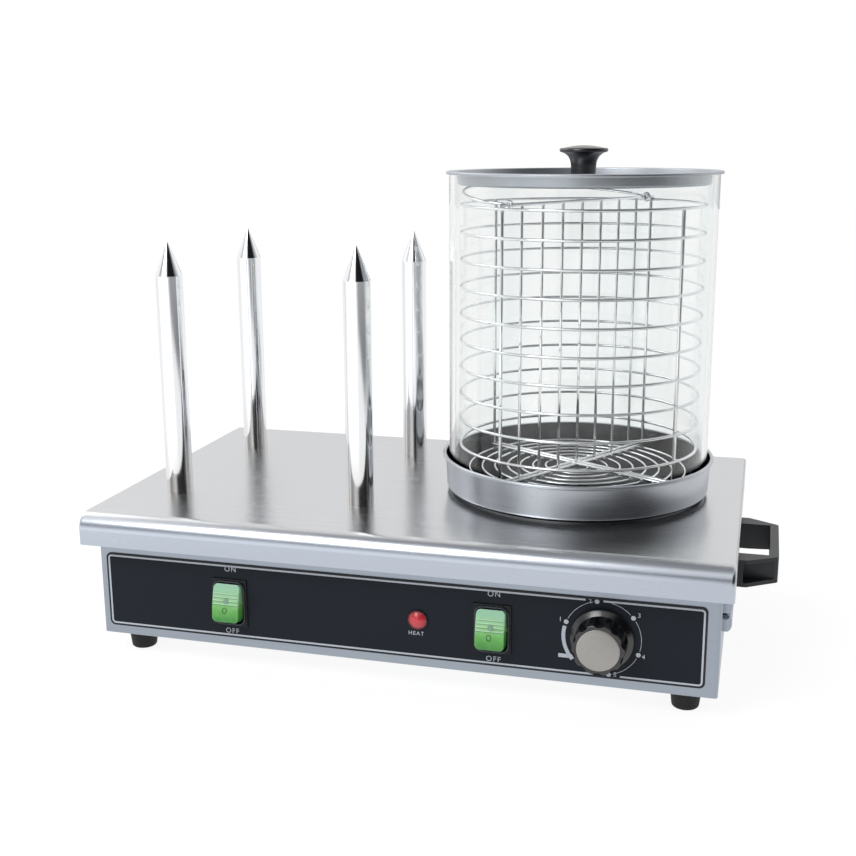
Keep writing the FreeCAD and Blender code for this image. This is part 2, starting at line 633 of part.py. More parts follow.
def switch_housing(x):
    """Bezel, round-cornered collar and box of one rocker switch, with a bore for the rocker's pins."""
    front = PANEL_FACE - SWITCH_PROUD
    lip = front - COLLAR_PROUD
    back = PANEL_FACE + SWITCH_LENGTH
    edge = SWITCH_PROUD * 0.4
    bezel = rounded_block(x, SWITCH_Z, SWITCH_BEZEL, edge, front, PANEL_FACE)
    bezel = bezel.makeFillet(edge, [e for e in bezel.Edges if e.BoundBox.YMax < front + TINY])
    collar = rounded_block(x, SWITCH_Z, SWITCH_COLLAR, SWITCH_CORNER + COLLAR_WALL, lip, PANEL_FACE)
    collar = collar.makeFillet(COLLAR_PROUD * 0.4, [e for e in collar.Edges if e.BoundBox.YMax < lip + TINY])
    box = rounded_block(x, SWITCH_Z, SWITCH_BODY, edge, PANEL_FACE, back)
    window = rounded_block(x, SWITCH_Z, SWITCH_WINDOW, SWITCH_CORNER, lip, back - SWITCH_FLOOR)
    half = SWITCH_BODY[0] / 2
    bore = along_x(PIVOT_Y, SWITCH_Z, x - half, x + half, ROCKER_PIN_RADIUS + RUNNING_GAP)
    return bezel.fuse([collar, box]).removeSplitter().cut([window, bore])


def rocker(x):
    """Rocker with its upper half pressed: round-cornered, crowned face, ends and two short pins."""
    width, height = ROCKER_SIZE
    side = height / 2
    reach = math.hypot(side, ROCKER_PROUD)
    corner = math.degrees(math.atan2(ROCKER_PROUD, side))
    end = math.degrees(math.asin(ROCKER_PROUD / 2 / side))
    tail = math.degrees(math.asin(ROCKER_TAIL / side))

    def point(distance, degrees):
        """Distance from the pin, degrees round it from straight up towards the front, when level."""
        angle = math.radians(degrees - ROCKER_TILT)
        return vec(x - width / 2, PIVOT_Y - distance * math.sin(angle),
                   SWITCH_Z + distance * math.cos(angle))

    edges = [
        Part.Arc(point(reach, corner), point(ROCKER_PROUD + ROCKER_CROWN, 90),
                 point(reach, 180 - corner)).toShape(),
        Part.LineSegment(point(reach, 180 - corner), point(side, 180 - end)).toShape(),
        Part.LineSegment(point(side, 180 - end), point(side - ROCKER_PIN_RADIUS, 180 + tail)).toShape(),
        Part.LineSegment(point(side - ROCKER_PIN_RADIUS, 180 + tail),
                         point(side - ROCKER_PIN_RADIUS, -tail)).toShape(),
        Part.LineSegment(point(side - ROCKER_PIN_RADIUS, -tail), point(side, end)).toShape(),
        Part.LineSegment(point(side, end), point(reach, corner)).toShape(),
    ]
    paddle = profile_face(edges).extrude(vec(width, 0, 0))
    seen = rounded_block(x, SWITCH_Z, (width, height + CORNER_REACH), ROCKER_CORNER,
                         PIVOT_Y - height, PIVOT_Y + height)
    seen.rotate(vec(x, PIVOT_Y, SWITCH_Z), ALONG_X, -ROCKER_TILT)
    paddle = paddle.common(seen)
    crown = min(paddle.Faces, key=lambda f: f.CenterOfMass.y)
    paddle = paddle.makeFillet(ROCKER_EDGE, crown.Edges)
    half = SWITCH_BODY[0] / 2
    pin = along_x(PIVOT_Y, SWITCH_Z, x - half, x + half, ROCKER_PIN_RADIUS)
    return paddle.fuse(pin).removeSplitter()


def lamp_holder():
    """Thin black bezel and the body of the signal lamp behind the panel."""
    bezel = along_y(LAMP_X, CONTROL_Z, PANEL_FACE - LAMP_PROUD, PANEL_FACE, LAMP_BEZEL_RADIUS)
    body = along_y(LAMP_X, CONTROL_Z, PANEL_FACE, PANEL_FACE + LAMP_BODY_LENGTH, LAMP_BODY_RADIUS)
    seat = along_y(LAMP_X, CONTROL_Z, PANEL_FACE - LAMP_PROUD, PANEL_FACE - LAMP_PROUD / 3,
                   LAMP_LENS_RADIUS + RUNNING_GAP)
    return bezel.fuse(body).removeSplitter().cut(seat)


def lamp_lens():
    """Domed lens that sits in the bezel."""
    base = PANEL_FACE - LAMP_PROUD / 3
    rim = PANEL_FACE - LAMP_PROUD
    middle, height = cap_middle(LAMP_LENS_RADIUS, LAMP_DOME)

    def at(radius, y):
        return vec(LAMP_X, y, CONTROL_Z + radius)

    edges = [
        Part.LineSegment(at(0, base), at(LAMP_LENS_RADIUS, base)).toShape(),
        Part.LineSegment(at(LAMP_LENS_RADIUS, base), at(LAMP_LENS_RADIUS, rim)).toShape(),
        Part.Arc(at(LAMP_LENS_RADIUS, rim), at(middle, rim - height), at(0, rim - LAMP_DOME)).toShape(),
        Part.LineSegment(at(0, rim - LAMP_DOME), at(0, base)).toShape(),
    ]
    return profile_face(edges).revolve(at(0, 0), ALONG_Y, 360)


def thermostat_screw_heights():
    return [CONTROL_Z + side * THERMOSTAT_SCREW_PITCH / 2 for side in (-1, 1)]


def countersink(z, gap):
    """A countersunk head in the front wall and the shank behind it."""
    head = Part.makeCone(THERMOSTAT_SCREW_HEAD + gap, SCREW_RADIUS + gap, SHEET,
                         vec(DIAL_X, FRONT, z), ALONG_Y)
    shank = along_y(DIAL_X, z, FRONT, FRONT + SHEET + SCREW_LENGTH - FIT_GAP + gap, SCREW_RADIUS + gap)
    return head.fuse(shank).removeSplitter()


def thermostat_body():
    """Capillary thermostat behind the front wall: box, collar through the wall and shaft bore."""
    width, depth, height = THERMOSTAT_BOX
    start = FRONT + SHEET
    box = block(DIAL_X - width / 2, DIAL_X + width / 2, start, start + depth,
                CONTROL_Z - height / 2, CONTROL_Z + height / 2)
    collar = along_y(DIAL_X, CONTROL_Z, PANEL_FACE, start, THERMOSTAT_COLLAR_RADIUS)
    cuts = [along_y(DIAL_X, CONTROL_Z, PANEL_FACE, start + depth / 2, SHAFT_RADIUS + RUNNING_GAP)]
    for z in thermostat_screw_heights():
        cuts.append(along_y(DIAL_X, z, start, start + SCREW_LENGTH, SCREW_RADIUS + RUNNING_GAP))
    return box.fuse(collar).removeSplitter().cut(cuts)


def thermostat_screws():
    """Two countersunk screws, flush with the front wall under the panel."""
    return Part.makeCompound([countersink(z, 0) for z in thermostat_screw_heights()])


def thermostat_shaft():
    """Steel shaft from the thermostat into the knob, with a flat at the knob's end."""
    start = PANEL_FACE - KNOB_DEPTH + KNOB_FRONT_WALL + FIT_GAP
    flat_end = PANEL_FACE - SKIRT_GAP
    end = FRONT + SHEET + THERMOSTAT_BOX[1] / 2 - FIT_GAP
    shaft = along_y(DIAL_X, CONTROL_Z, start, end, SHAFT_RADIUS)
    flat = block(DIAL_X - SHAFT_RADIUS, DIAL_X + SHAFT_RADIUS, start, flat_end,
                 CONTROL_Z + SHAFT_FLAT, CONTROL_Z + SHAFT_RADIUS)
    return shaft.cut(flat)


def thermostat_knob():
    """Round skirt and scalloped grip, with a seat for the front cap and a boss on the shaft."""
    back = PANEL_FACE - SKIRT_GAP
    front = PANEL_FACE - KNOB_DEPTH
    skirt_front = back - SKIRT_THICKNESS
    slim = GRIP_RADIUS - GRIP_DRAFT
    seat = CAP_RADIUS + RUNNING_GAP

    def at(radius, y):
        return vec(DIAL_X, y, CONTROL_Z + radius)

    outline = [at(0, back), at(SKIRT_RADIUS, back), at(SKIRT_RADIUS, skirt_front + SKIRT_CHAMFER),
               at(SKIRT_RADIUS - SKIRT_CHAMFER, skirt_front), at(GRIP_RADIUS, skirt_front),
               at(slim, front + KNOB_EDGE), at(slim - KNOB_EDGE, front), at(seat, front),
               at(seat, front + CAP_SEAT), at(0, front + CAP_SEAT)]
    face = Part.Face(Part.makePolygon(outline + [outline[0]]))
    knob = face.revolve(at(0, 0), ALONG_Y, 360)
    scallops = []
    for scallop in range(SCALLOPS):
        turn = 2 * math.pi * (scallop + 0.5) / SCALLOPS
        outward = vec(math.cos(turn), 0, math.sin(turn))
        start = at(0, skirt_front) + outward * (GRIP_RADIUS + SCALLOP_RADIUS - SCALLOP_BITE)
        lean = vec(0, front - SHEET - skirt_front, 0) - outward * GRIP_DRAFT
        scallops.append(Part.makeCylinder(SCALLOP_RADIUS, lean.Length, start, lean))
    inside = front + KNOB_FRONT_WALL
    hollow = along_y(DIAL_X, CONTROL_Z, inside, back, GRIP_RADIUS - KNOB_WALL)
    boss = along_y(DIAL_X, CONTROL_Z, inside, back, KNOB_BOSS_RADIUS)
    bore = along_y(DIAL_X, CONTROL_Z, inside, back, SHAFT_RADIUS + RUNNING_GAP)
    return knob.cut([hollow.cut(boss), bore] + scallops).removeSplitter()


def knob_cap():
    """Slightly domed metal disc on the front of the knob."""
    seat = PANEL_FACE - KNOB_DEPTH + CAP_SEAT
    rim = PANEL_FACE - KNOB_DEPTH - CAP_STEP
    middle, height = cap_middle(CAP_RADIUS, CAP_DOME)

    def at(radius, y):
        return vec(DIAL_X, y, CONTROL_Z + radius)

    edges = [
        Part.LineSegment(at(0, seat), at(CAP_RADIUS, seat)).toShape(),
        Part.LineSegment(at(CAP_RADIUS, seat), at(CAP_RADIUS, rim)).toShape(),
        Part.Arc(at(CAP_RADIUS, rim), at(middle, rim - height), at(0, rim - CAP_DOME)).toShape(),
        Part.LineSegment(at(0, rim - CAP_DOME), at(0, seat)).toShape(),
    ]
    return profile_face(edges).revolve(at(0, 0), ALONG_Y, 360)


# --- spikes -------------------------------------------------------------------------------------
def spike(x, y):
    """Steel tube with a cone tip, a solid foot and a threaded stud through the plate."""
    bore = SPIKE_RADIUS - SPIKE_WALL
    bore_top = SPIKE_BASE + HEATER_LENGTH + SPIKE_WALL
    outline = [
        (SPIKE_LEAD_RADIUS, -SPIKE_STUD_LENGTH), (SPIKE_STUD_RADIUS, -SPIKE_STUD_LENGTH),
        (SPIKE_STUD_RADIUS, 0), (SPIKE_RADIUS, 0), (SPIKE_RADIUS, SPIKE_SHOULDER),
        (SPIKE_TIP_RADIUS, SPIKE_HEIGHT - SPIKE_TIP_RADIUS), (0, SPIKE_HEIGHT),
        (0, bore_top + bore), (bore, bore_top), (bore, SPIKE_BASE), (SPIKE_LEAD_RADIUS, SPIKE_BASE),
    ]
    return turned(outline, x, y, PLATE_TOP)


def spike_heaters():
    """One cartridge heater in each spike, standing on the spike's solid foot."""
    start = PLATE_TOP + SPIKE_BASE
    return Part.makeCompound([disc(x, y, start, start + HEATER_LENGTH, HEATER_RADIUS)
                              for x, y in SPIKE_PLACES.values()])


def spike_washers():
    """Insulating washers under the plate."""
    start = PLATE_UNDER - SPIKE_WASHER_HEIGHT
    made = []
    for x, y in SPIKE_PLACES.values():
        ring = disc(x, y, start, PLATE_UNDER, SPIKE_WASHER_RADIUS)
        made.append(ring.cut(disc(x, y, start, PLATE_UNDER, SPIKE_STUD_RADIUS + HOLE_GAP)))
    return Part.makeCompound(made)


def spike_nuts():
    start = PLATE_UNDER - SPIKE_WASHER_HEIGHT - SPIKE_NUT_HEIGHT
    return Part.makeCompound([
        hexagon_nut(x, y, start, SPIKE_NUT_WIDTH, SPIKE_NUT_HEIGHT, SPIKE_STUD_RADIUS + RUNNING_GAP)
        for x, y in SPIKE_PLACES.values()])


# --- steamer --------------------------------------------------------------------------------------
def hot_plate():
    """Round steel plate let into the top, with a rim that lies on it and two studs below."""
    rim = disc(STEAMER_X, STEAMER_Y, PLATE_TOP, HOT_PLATE_TOP, HOT_PLATE_RADIUS)
    rim = rim.makeChamfer(HOT_PLATE_RIM / 3, circles_at(rim, HOT_PLATE_TOP))
    body = disc(STEAMER_X, STEAMER_Y, HOT_PLATE_UNDER, PLATE_TOP, HOT_PLATE_BODY_RADIUS)
    low = HOT_PLATE_UNDER - HEATER_BAND_HEIGHT - CLAMP_THICKNESS - 3 * CLAMP_STUD_RADIUS
    studs = [disc(STEAMER_X + side * CLAMP_STUD_SPACING / 2, STEAMER_Y, low, HOT_PLATE_UNDER,
                  CLAMP_STUD_RADIUS) for side in (-1, 1)]
    return rim.fuse([body] + studs).removeSplitter()


def heater_band():
    """Flat ring heater under the hot plate."""
    inner, outer = HEATER_BAND
    start = HOT_PLATE_UNDER - HEATER_BAND_HEIGHT
    return disc(STEAMER_X, STEAMER_Y, start, HOT_PLATE_UNDER, outer).cut(
        disc(STEAMER_X, STEAMER_Y, start, HOT_PLATE_UNDER, inner))


def heater_clamp():
    """Steel bar that presses the ring heater up."""
    top = HOT_PLATE_UNDER - HEATER_BAND_HEIGHT
    outer = HEATER_BAND[1]
    bar = block(STEAMER_X - outer, STEAMER_X + outer, STEAMER_Y - CLAMP_WIDTH / 2,
                STEAMER_Y + CLAMP_WIDTH / 2, top - CLAMP_THICKNESS, top)
    holes = [disc(STEAMER_X + side * CLAMP_STUD_SPACING / 2, STEAMER_Y, top - CLAMP_THICKNESS, top,
                  CLAMP_STUD_RADIUS + HOLE_GAP) for side in (-1, 1)]
    return bar.cut(holes)


def clamp_nuts():
    start = HOT_PLATE_UNDER - HEATER_BAND_HEIGHT - CLAMP_THICKNESS - 2 * CLAMP_STUD_RADIUS
    return Part.makeCompound([
        hexagon_nut(STEAMER_X + side * CLAMP_STUD_SPACING / 2, STEAMER_Y, start,
                    4 * CLAMP_STUD_RADIUS, 2 * CLAMP_STUD_RADIUS, CLAMP_STUD_RADIUS + RUNNING_GAP)
        for side in (-1, 1)])


def thermostat_bulb():
    """Sensing bulb of the thermostat, held against the hot plate by the clamp."""
    return along_x(STEAMER_Y + BULB_OFFSET, HOT_PLATE_UNDER - BULB_RADIUS,
                   STEAMER_X - BULB_LENGTH / 2, STEAMER_X + BULB_LENGTH / 2, BULB_RADIUS)


def water_pan():
    """Spun pan: flat bottom, rounded corner, slightly flared wall and a rolled rim."""
    rim_low = PAN_HEIGHT - PAN_RIM_DROP
    rim_in = PAN_TOP_RADIUS - PAN_SHEET
    slant = math.sin(math.radians(45))

    def at(radius, height):
        return vec(radius, 0, height)

    def corner(radius, height, bend):
        return (at(radius - bend, height),
                at(radius - bend + bend * slant, height + bend - bend * slant),
                at(radius, height + bend))

    outer = corner(PAN_BOTTOM_RADIUS, 0, PAN_CORNER)
    inner = corner(PAN_BOTTOM_RADIUS - PAN_SHEET, PAN_SHEET, PAN_CORNER - PAN_SHEET)
    edges = [
        Part.LineSegment(at(0, 0), outer[0]).toShape(),
        Part.Arc(*outer).toShape(),
        Part.LineSegment(outer[2], at(PAN_TOP_RADIUS, rim_low)).toShape(),
        Part.LineSegment(at(PAN_TOP_RADIUS, rim_low), at(PAN_RIM_RADIUS, rim_low)).toShape(),
        Part.Arc(at(PAN_RIM_RADIUS, rim_low), at((rim_in + PAN_RIM_RADIUS) / 2, PAN_HEIGHT),
                 at(rim_in, rim_low)).toShape(),
        Part.LineSegment(at(rim_in, rim_low), inner[2]).toShape(),
        Part.Arc(inner[2], inner[1], inner[0]).toShape(),
        Part.LineSegment(inner[0], at(0, PAN_SHEET)).toShape(),
        Part.LineSegment(at(0, PAN_SHEET), at(0, 0)).toShape(),
    ]
    pan = profile_face(edges).revolve(vec(0, 0, 0), UP, 360)
    pan.translate(vec(STEAMER_X, STEAMER_Y, HOT_PLATE_TOP))
    return pan


def glass_cylinder():
    """Plain glass tube with ground edges; it stands in the pan."""
    tube = disc(STEAMER_X, STEAMER_Y, GLASS_BOTTOM, GLASS_TOP, GLASS_RADIUS).cut(
        disc(STEAMER_X, STEAMER_Y, GLASS_BOTTOM, GLASS_TOP, GLASS_BORE))
    return tube.makeFillet(GLASS_EDGE, circles_at(tube, GLASS_BOTTOM) + circles_at(tube, GLASS_TOP))


def lid_dish():
    """Spun lid: flange on the glass, dish that drops inside it and a hole for the knob's screw."""
    floor = LID_SHEET - DISH_DEPTH
    under = floor - LID_SHEET
    out_corner = DISH_BOTTOM_RADIUS - DISH_CORNER

    def at(radius, height):
        return vec(radius, 0, height)

    slant = math.sin(math.radians(45))
    inner_corner = DISH_CORNER - LID_SHEET
    edges = [
        Part.LineSegment(at(0, under), at(out_corner, under)).toShape(),
        Part.Arc(at(out_corner, under),
                 at(out_corner + DISH_CORNER * slant, under + DISH_CORNER * (1 - slant)),
                 at(DISH_BOTTOM_RADIUS, under + DISH_CORNER)).toShape(),
        Part.LineSegment(at(DISH_BOTTOM_RADIUS, under + DISH_CORNER), at(DISH_TOP_RADIUS, 0)).toShape(),
        Part.LineSegment(at(DISH_TOP_RADIUS, 0), at(LID_RADIUS - LID_SHEET, 0)).toShape(),
        Part.LineSegment(at(LID_RADIUS - LID_SHEET, 0), at(LID_RADIUS - LID_SHEET, -LID_HEM)).toShape(),
        Part.LineSegment(at(LID_RADIUS - LID_SHEET, -LID_HEM), at(LID_RADIUS, -LID_HEM)).toShape(),
        Part.LineSegment(at(LID_RADIUS, -LID_HEM), at(LID_RADIUS, 0)).toShape(),
        Part.Arc(at(LID_RADIUS, 0), at(LID_RADIUS - LID_SHEET * (1 - slant), LID_SHEET * slant),
                 at(LID_RADIUS - LID_SHEET, LID_SHEET)).toShape(),
        Part.LineSegment(at(LID_RADIUS - LID_SHEET, LID_SHEET),
                         at(DISH_TOP_RADIUS - LID_SHEET, LID_SHEET)).toShape(),
        Part.LineSegment(at(DISH_TOP_RADIUS - LID_SHEET, LID_SHEET),
                         at(DISH_BOTTOM_RADIUS - LID_SHEET, floor + inner_corner)).toShape(),
        Part.Arc(at(DISH_BOTTOM_RADIUS - LID_SHEET, floor + inner_corner),
                 at(out_corner + inner_corner * slant, floor + inner_corner * (1 - slant)),
                 at(out_corner, floor)).toShape(),
        Part.LineSegment(at(out_corner, floor), at(0, floor)).toShape(),
        Part.LineSegment(at(0, floor), at(0, under)).toShape(),
    ]
    lid = profile_face(edges).revolve(vec(0, 0, 0), UP, 360)
    lid.translate(vec(STEAMER_X, STEAMER_Y, GLASS_TOP))
    return lid.cut(disc(STEAMER_X, STEAMER_Y, LID_FLOOR - 2 * LID_SHEET, LID_FLOOR + LID_SHEET,
                        LID_SCREW_RADIUS + HOLE_GAP))


def lid_knob():
    """Mushroom knob: straight neck, hollow underside of the cap and a low dome."""
    edge_low = LID_KNOB_HEIGHT - LID_KNOB_DOME - LID_KNOB_EDGE
    edge_high = edge_low + LID_KNOB_EDGE
    crown = LID_KNOB_RADIUS - LID_KNOB_ROUND
    middle, height = cap_middle(crown, LID_KNOB_DOME)
    bore = LID_SCREW_RADIUS + RUNNING_GAP

    def at(radius, height):
        return vec(radius, 0, height)

    flare = at(LID_KNOB_NECK + (crown - LID_KNOB_NECK) * 0.3,
               LID_KNOB_NECK_HEIGHT + (edge_low - LID_KNOB_NECK_HEIGHT) * 0.52)
    edges = [
        Part.LineSegment(at(bore, 0), at(LID_KNOB_NECK, 0)).toShape(),
        Part.LineSegment(at(LID_KNOB_NECK, 0), at(LID_KNOB_NECK, LID_KNOB_NECK_HEIGHT)).toShape(),
        Part.Arc(at(LID_KNOB_NECK, LID_KNOB_NECK_HEIGHT), flare, at(crown, edge_low)).toShape(),
        Part.Arc(at(crown, edge_low), at(LID_KNOB_RADIUS, edge_low + LID_KNOB_EDGE / 2),
                 at(crown, edge_high)).toShape(),
        Part.Arc(at(crown, edge_high), at(middle, edge_high + height), at(0, LID_KNOB_HEIGHT)).toShape(),
        Part.LineSegment(at(0, LID_KNOB_HEIGHT), at(0, LID_SCREW_DEPTH)).toShape(),
        Part.LineSegment(at(0, LID_SCREW_DEPTH), at(bore, LID_SCREW_DEPTH)).toShape(),
        Part.LineSegment(at(bore, LID_SCREW_DEPTH), at(bore, 0)).toShape(),
    ]
    knob = profile_face(edges).revolve(vec(0, 0, 0), UP, 360)
    knob.translate(vec(STEAMER_X, STEAMER_Y, LID_FLOOR))
    return knob


def lid_screw():
    """Screw from under the dish into the knob."""
    seat = LID_FLOOR - LID_SHEET
    return screw(vec(STEAMER_X, STEAMER_Y, seat), UP, LID_SCREW_RADIUS,
                 LID_SHEET + LID_SCREW_DEPTH - FIT_GAP, LID_SCREW_HEAD, LID_SCREW_HEAD_HEIGHT)


# --- wire basket ------------------------------------------------------------------------------------
def basket_axis(degrees):
    """Unit vector in the floor plane, turned with the basket."""
    angle = math.radians(BASKET_TURN + degrees)
    return vec(math.cos(angle), math.sin(angle), 0)


def basket_centre(z):
    return vec(STEAMER_X, STEAMER_Y, z)


def basket_hoops():
    """Ten hoops, evenly spaced."""
    made = []
    for hoop in range(HOOP_COUNT):
        centre = basket_centre(TOP_HOOP_Z - hoop * HOOP_PITCH)
        made.append(bent_wire(centre, basket_axis(0), basket_axis(90), HOOP_RADIUS, WIRE))
    return Part.makeCompound(made)


def basket_posts():
    """Four posts inside the hoops; they stand on the floor of the pan."""
    made = []
    for quarter in range(4):
        foot = basket_centre(PAN_FLOOR + REST_GAP) + basket_axis(90 * quarter) * POST_CIRCLE
        top = vec(foot.x, foot.y, TOP_HOOP_Z + WIRE)
        made.append(straight_wire(foot, top, POST_WIRE))
    return Part.makeCompound(made)


def basket_divider():
    """Rod across the top hoop with upright wires that stand on the double floor bar."""
    line = basket_axis(0)
    rod = straight_wire(basket_centre(ROD_Z) - line * (HOOP_RADIUS + WIRE),
                        basket_centre(ROD_Z) + line * (HOOP_RADIUS + WIRE), ROD_WIRE)
    wires = []
    for number in range(DIVIDER_WIRES):
        offset = line * (DIVIDER_PITCH * (number - (DIVIDER_WIRES - 1) / 2))
        wires.append(straight_wire(basket_centre(BAR_LEVEL - BAR_WIRE) + offset,
                                   basket_centre(ROD_Z) + offset, WIRE))
    return rod.fuse(wires).removeSplitter()


def basket_floor():
    """Rings of the floor grid on two crossed pairs of bars that hold the posts between them."""
    made = []
    for ring in range(GRID_COUNT):
        radius = HOOP_RADIUS - GRID_INSET - ring * GRID_PITCH
        made.append(bent_wire(basket_centre(GRID_Z), basket_axis(0), basket_axis(90), radius, WIRE))
    bars = []
    for quarter in (0, 90):
        line = basket_axis(quarter)
        for side in (-1, 1):
            middle = basket_centre(BAR_LEVEL) + basket_axis(quarter + 90) * (side * BAR_SPACING / 2)
            bars.append(straight_wire(middle - line * POST_CIRCLE, middle + line * POST_CIRCLE, BAR_WIRE))
    made.append(bars[0].fuse(bars[1:]).removeSplitter())
    return Part.makeCompound(made)


def basket_bail():
    """Half-round carrying bail with an eye round the divider's rod at each end, folded to the back."""
    line = basket_axis(0)
    tilt = math.radians(BAIL_TILT)
    rise = basket_axis(90) * math.cos(tilt) + UP * math.sin(tilt)
    centre = basket_centre(ROD_Z)
    arc = bent_wire(centre, line, rise, BAIL_RADIUS, BAIL_WIRE, BAIL_LEG_ANGLE, 180 - BAIL_LEG_ANGLE)
    leg = math.radians(BAIL_LEG_ANGLE)
    bore = ROD_WIRE + EYE_PLAY
    eye = bore + 2 * BAIL_WIRE
    pieces = []
    for side in (-1, 1):
        middle = centre + line * (side * EYE_SPACING / 2)
        ring = Part.makeCylinder(eye, 2 * BAIL_WIRE, middle - line * BAIL_WIRE, line)
        hole = Part.makeCylinder(bore, 2 * BAIL_WIRE, middle - line * BAIL_WIRE, line)
        end = centre + line * (side * BAIL_RADIUS * math.cos(leg)) + rise * (BAIL_RADIUS * math.sin(leg))
        pieces.append(ring.cut(hole))
        pieces.append(straight_wire(middle + rise * (bore + BAIL_WIRE), end, BAIL_WIRE))
        pieces.append(Part.makeSphere(BAIL_WIRE + BAIL_CORNER, end))
    return arc.fuse(pieces).removeSplitter()


# --- handles, gland and inner fittings ------------------------------------------------------------------
def handle_screw_z():
    return HANDLE_TOP - HANDLE_ROOT_HEIGHT / 2


def handle_screw_places():
    return [(side, HANDLE_Y + along * HANDLE_SCREW_SPACING / 2) for side in (-1, 1) for along in (-1, 1)]


def handle(side):
    """Moulded carrying handle: flared root, slim grip bar and a pocket in each arm."""
    root = WALL_X
    pad = root + HANDLE_PAD
    tip = root + HANDLE_REACH
    low = HANDLE_TOP - HANDLE_ROOT_HEIGHT
    tip_low = HANDLE_TOP - HANDLE_TIP_HEIGHT
    half_root = HANDLE_ROOT_LENGTH / 2
    half_tip = HANDLE_TIP_LENGTH / 2
    half_opening = HANDLE_OPENING / 2
    outline = [(root, -half_root), (pad, -half_root), (tip, -half_tip),
               (tip, half_tip), (pad, half_root), (root, half_root)]
    body = prism([vec(x, y, low) for x, y in outline], vec(0, 0, HANDLE_ROOT_HEIGHT))
    tip_corners = [e for e in upright_edges(body, low, HANDLE_TOP) if e.BoundBox.XMin > tip - TINY]
    body = body.makeFillet(HANDLE_CORNER, tip_corners)
    window = block(root, tip - HANDLE_GRIP, -half_opening, half_opening, low, HANDLE_TOP)
    underside = prism([vec(pad, -half_root, low), vec(tip, -half_root, low), vec(tip, -half_root, tip_low)],
                      vec(0, HANDLE_ROOT_LENGTH, 0))
    deep = half_opening + POCKET_WALL
    mouth = [vec(root + POCKET_ROOT_RIM, deep, low + POCKET_WALL),
             vec(pad, deep, low + POCKET_WALL),
             vec(tip - POCKET_WALL, deep, tip_low + POCKET_WALL),
             vec(tip - POCKET_WALL, deep, HANDLE_TOP - POCKET_WALL),
             vec(root + POCKET_ROOT_RIM, deep, HANDLE_TOP - POCKET_WALL)]
    pocket = prism(mouth, vec(0, half_root - deep, 0))
    cuts = [window, underside, pocket, pocket.mirror(vec(0, 0, 0), ALONG_Y)]
    for along in (-1, 1):
        cuts.append(along_x(along * HANDLE_SCREW_SPACING / 2, handle_screw_z(), root,
                            root + HANDLE_SCREW_LENGTH, HANDLE_SCREW_RADIUS + RUNNING_GAP))
    body = body.cut(cuts)
    if side < 0:
        body = body.mirror(vec(0, 0, 0), ALONG_X)
    body.translate(vec(0, HANDLE_Y, 0))
    return body


def handle_screws():
    """Two screws in each handle, put in from inside the base."""
    made = []
    for side, y in handle_screw_places():
        seat = vec(side * (WALL_X - SHEET), y, handle_screw_z())
        made.append(screw(seat, vec(side, 0, 0), HANDLE_SCREW_RADIUS,
                          SHEET + HANDLE_SCREW_LENGTH - FIT_GAP, HANDLE_SCREW_HEAD, HANDLE_SCREW_HEAD_HEIGHT))
    return Part.makeCompound(made)


def cable_gland():
    """Bushing for the supply cord in the back panel: flange, tapered nose and through bore."""
    outside = BACK + SHEET
    inside = BACK - GLAND_TAIL
    end = outside + GLAND_FLANGE + GLAND_NOSE
    flange = along_y(GLAND_X, GLAND_Z, outside, outside + GLAND_FLANGE, GLAND_FLANGE_RADIUS)
    body = along_y(GLAND_X, GLAND_Z, inside, outside, GLAND_BODY_RADIUS)
    nose = Part.makeCone(GLAND_BODY_RADIUS, GLAND_NOSE_RADIUS, GLAND_NOSE,
                         vec(GLAND_X, outside + GLAND_FLANGE, GLAND_Z), ALONG_Y)
    bore = along_y(GLAND_X, GLAND_Z, inside, end, GLAND_BORE)
    return flange.fuse([body, nose]).removeSplitter().cut(bore)


def terminal_block():
    """Ceramic terminal block on the lip of the back panel, with a row of wire holes."""
    length, depth, height = TERMINAL_BLOCK
    y0 = BACK - depth
    x0 = GLAND_X - GLAND_FLANGE_RADIUS - length
    body = block(x0, x0 + length, y0, y0 + depth, COVER_LIP_Z, COVER_LIP_Z + height)
    cuts = []
    for way in range(TERMINAL_WAYS):
        x = x0 + length * (way + 0.5) / TERMINAL_WAYS
        cuts.append(along_y(x, COVER_LIP_Z + height / 2, y0, y0 + depth, TERMINAL_HOLE_RADIUS))
    return body.cut(cuts)


def back_screw_places():
    """Screws through the back panel into the back flanges of the side walls."""
    x = WALL_X - FLANGE_WIDTH / 2
    return [(side * x, z) for side in (-1, 1) for z in BACK_SCREW_ROWS]


def back_screws():
    return Part.makeCompound([
        screw(vec(x, BACK + SHEET, z), -ALONG_Y, SCREW_RADIUS, SCREW_LENGTH, SCREW_HEAD_RADIUS,
              SCREW_HEAD_HEIGHT) for x, z in back_screw_places()])


def back_screw_holes():
    return [along_y(x, z, BACK - 2 * SHEET, BACK + 2 * SHEET, SCREW_RADIUS + HOLE_GAP)
            for x, z in back_screw_places()]


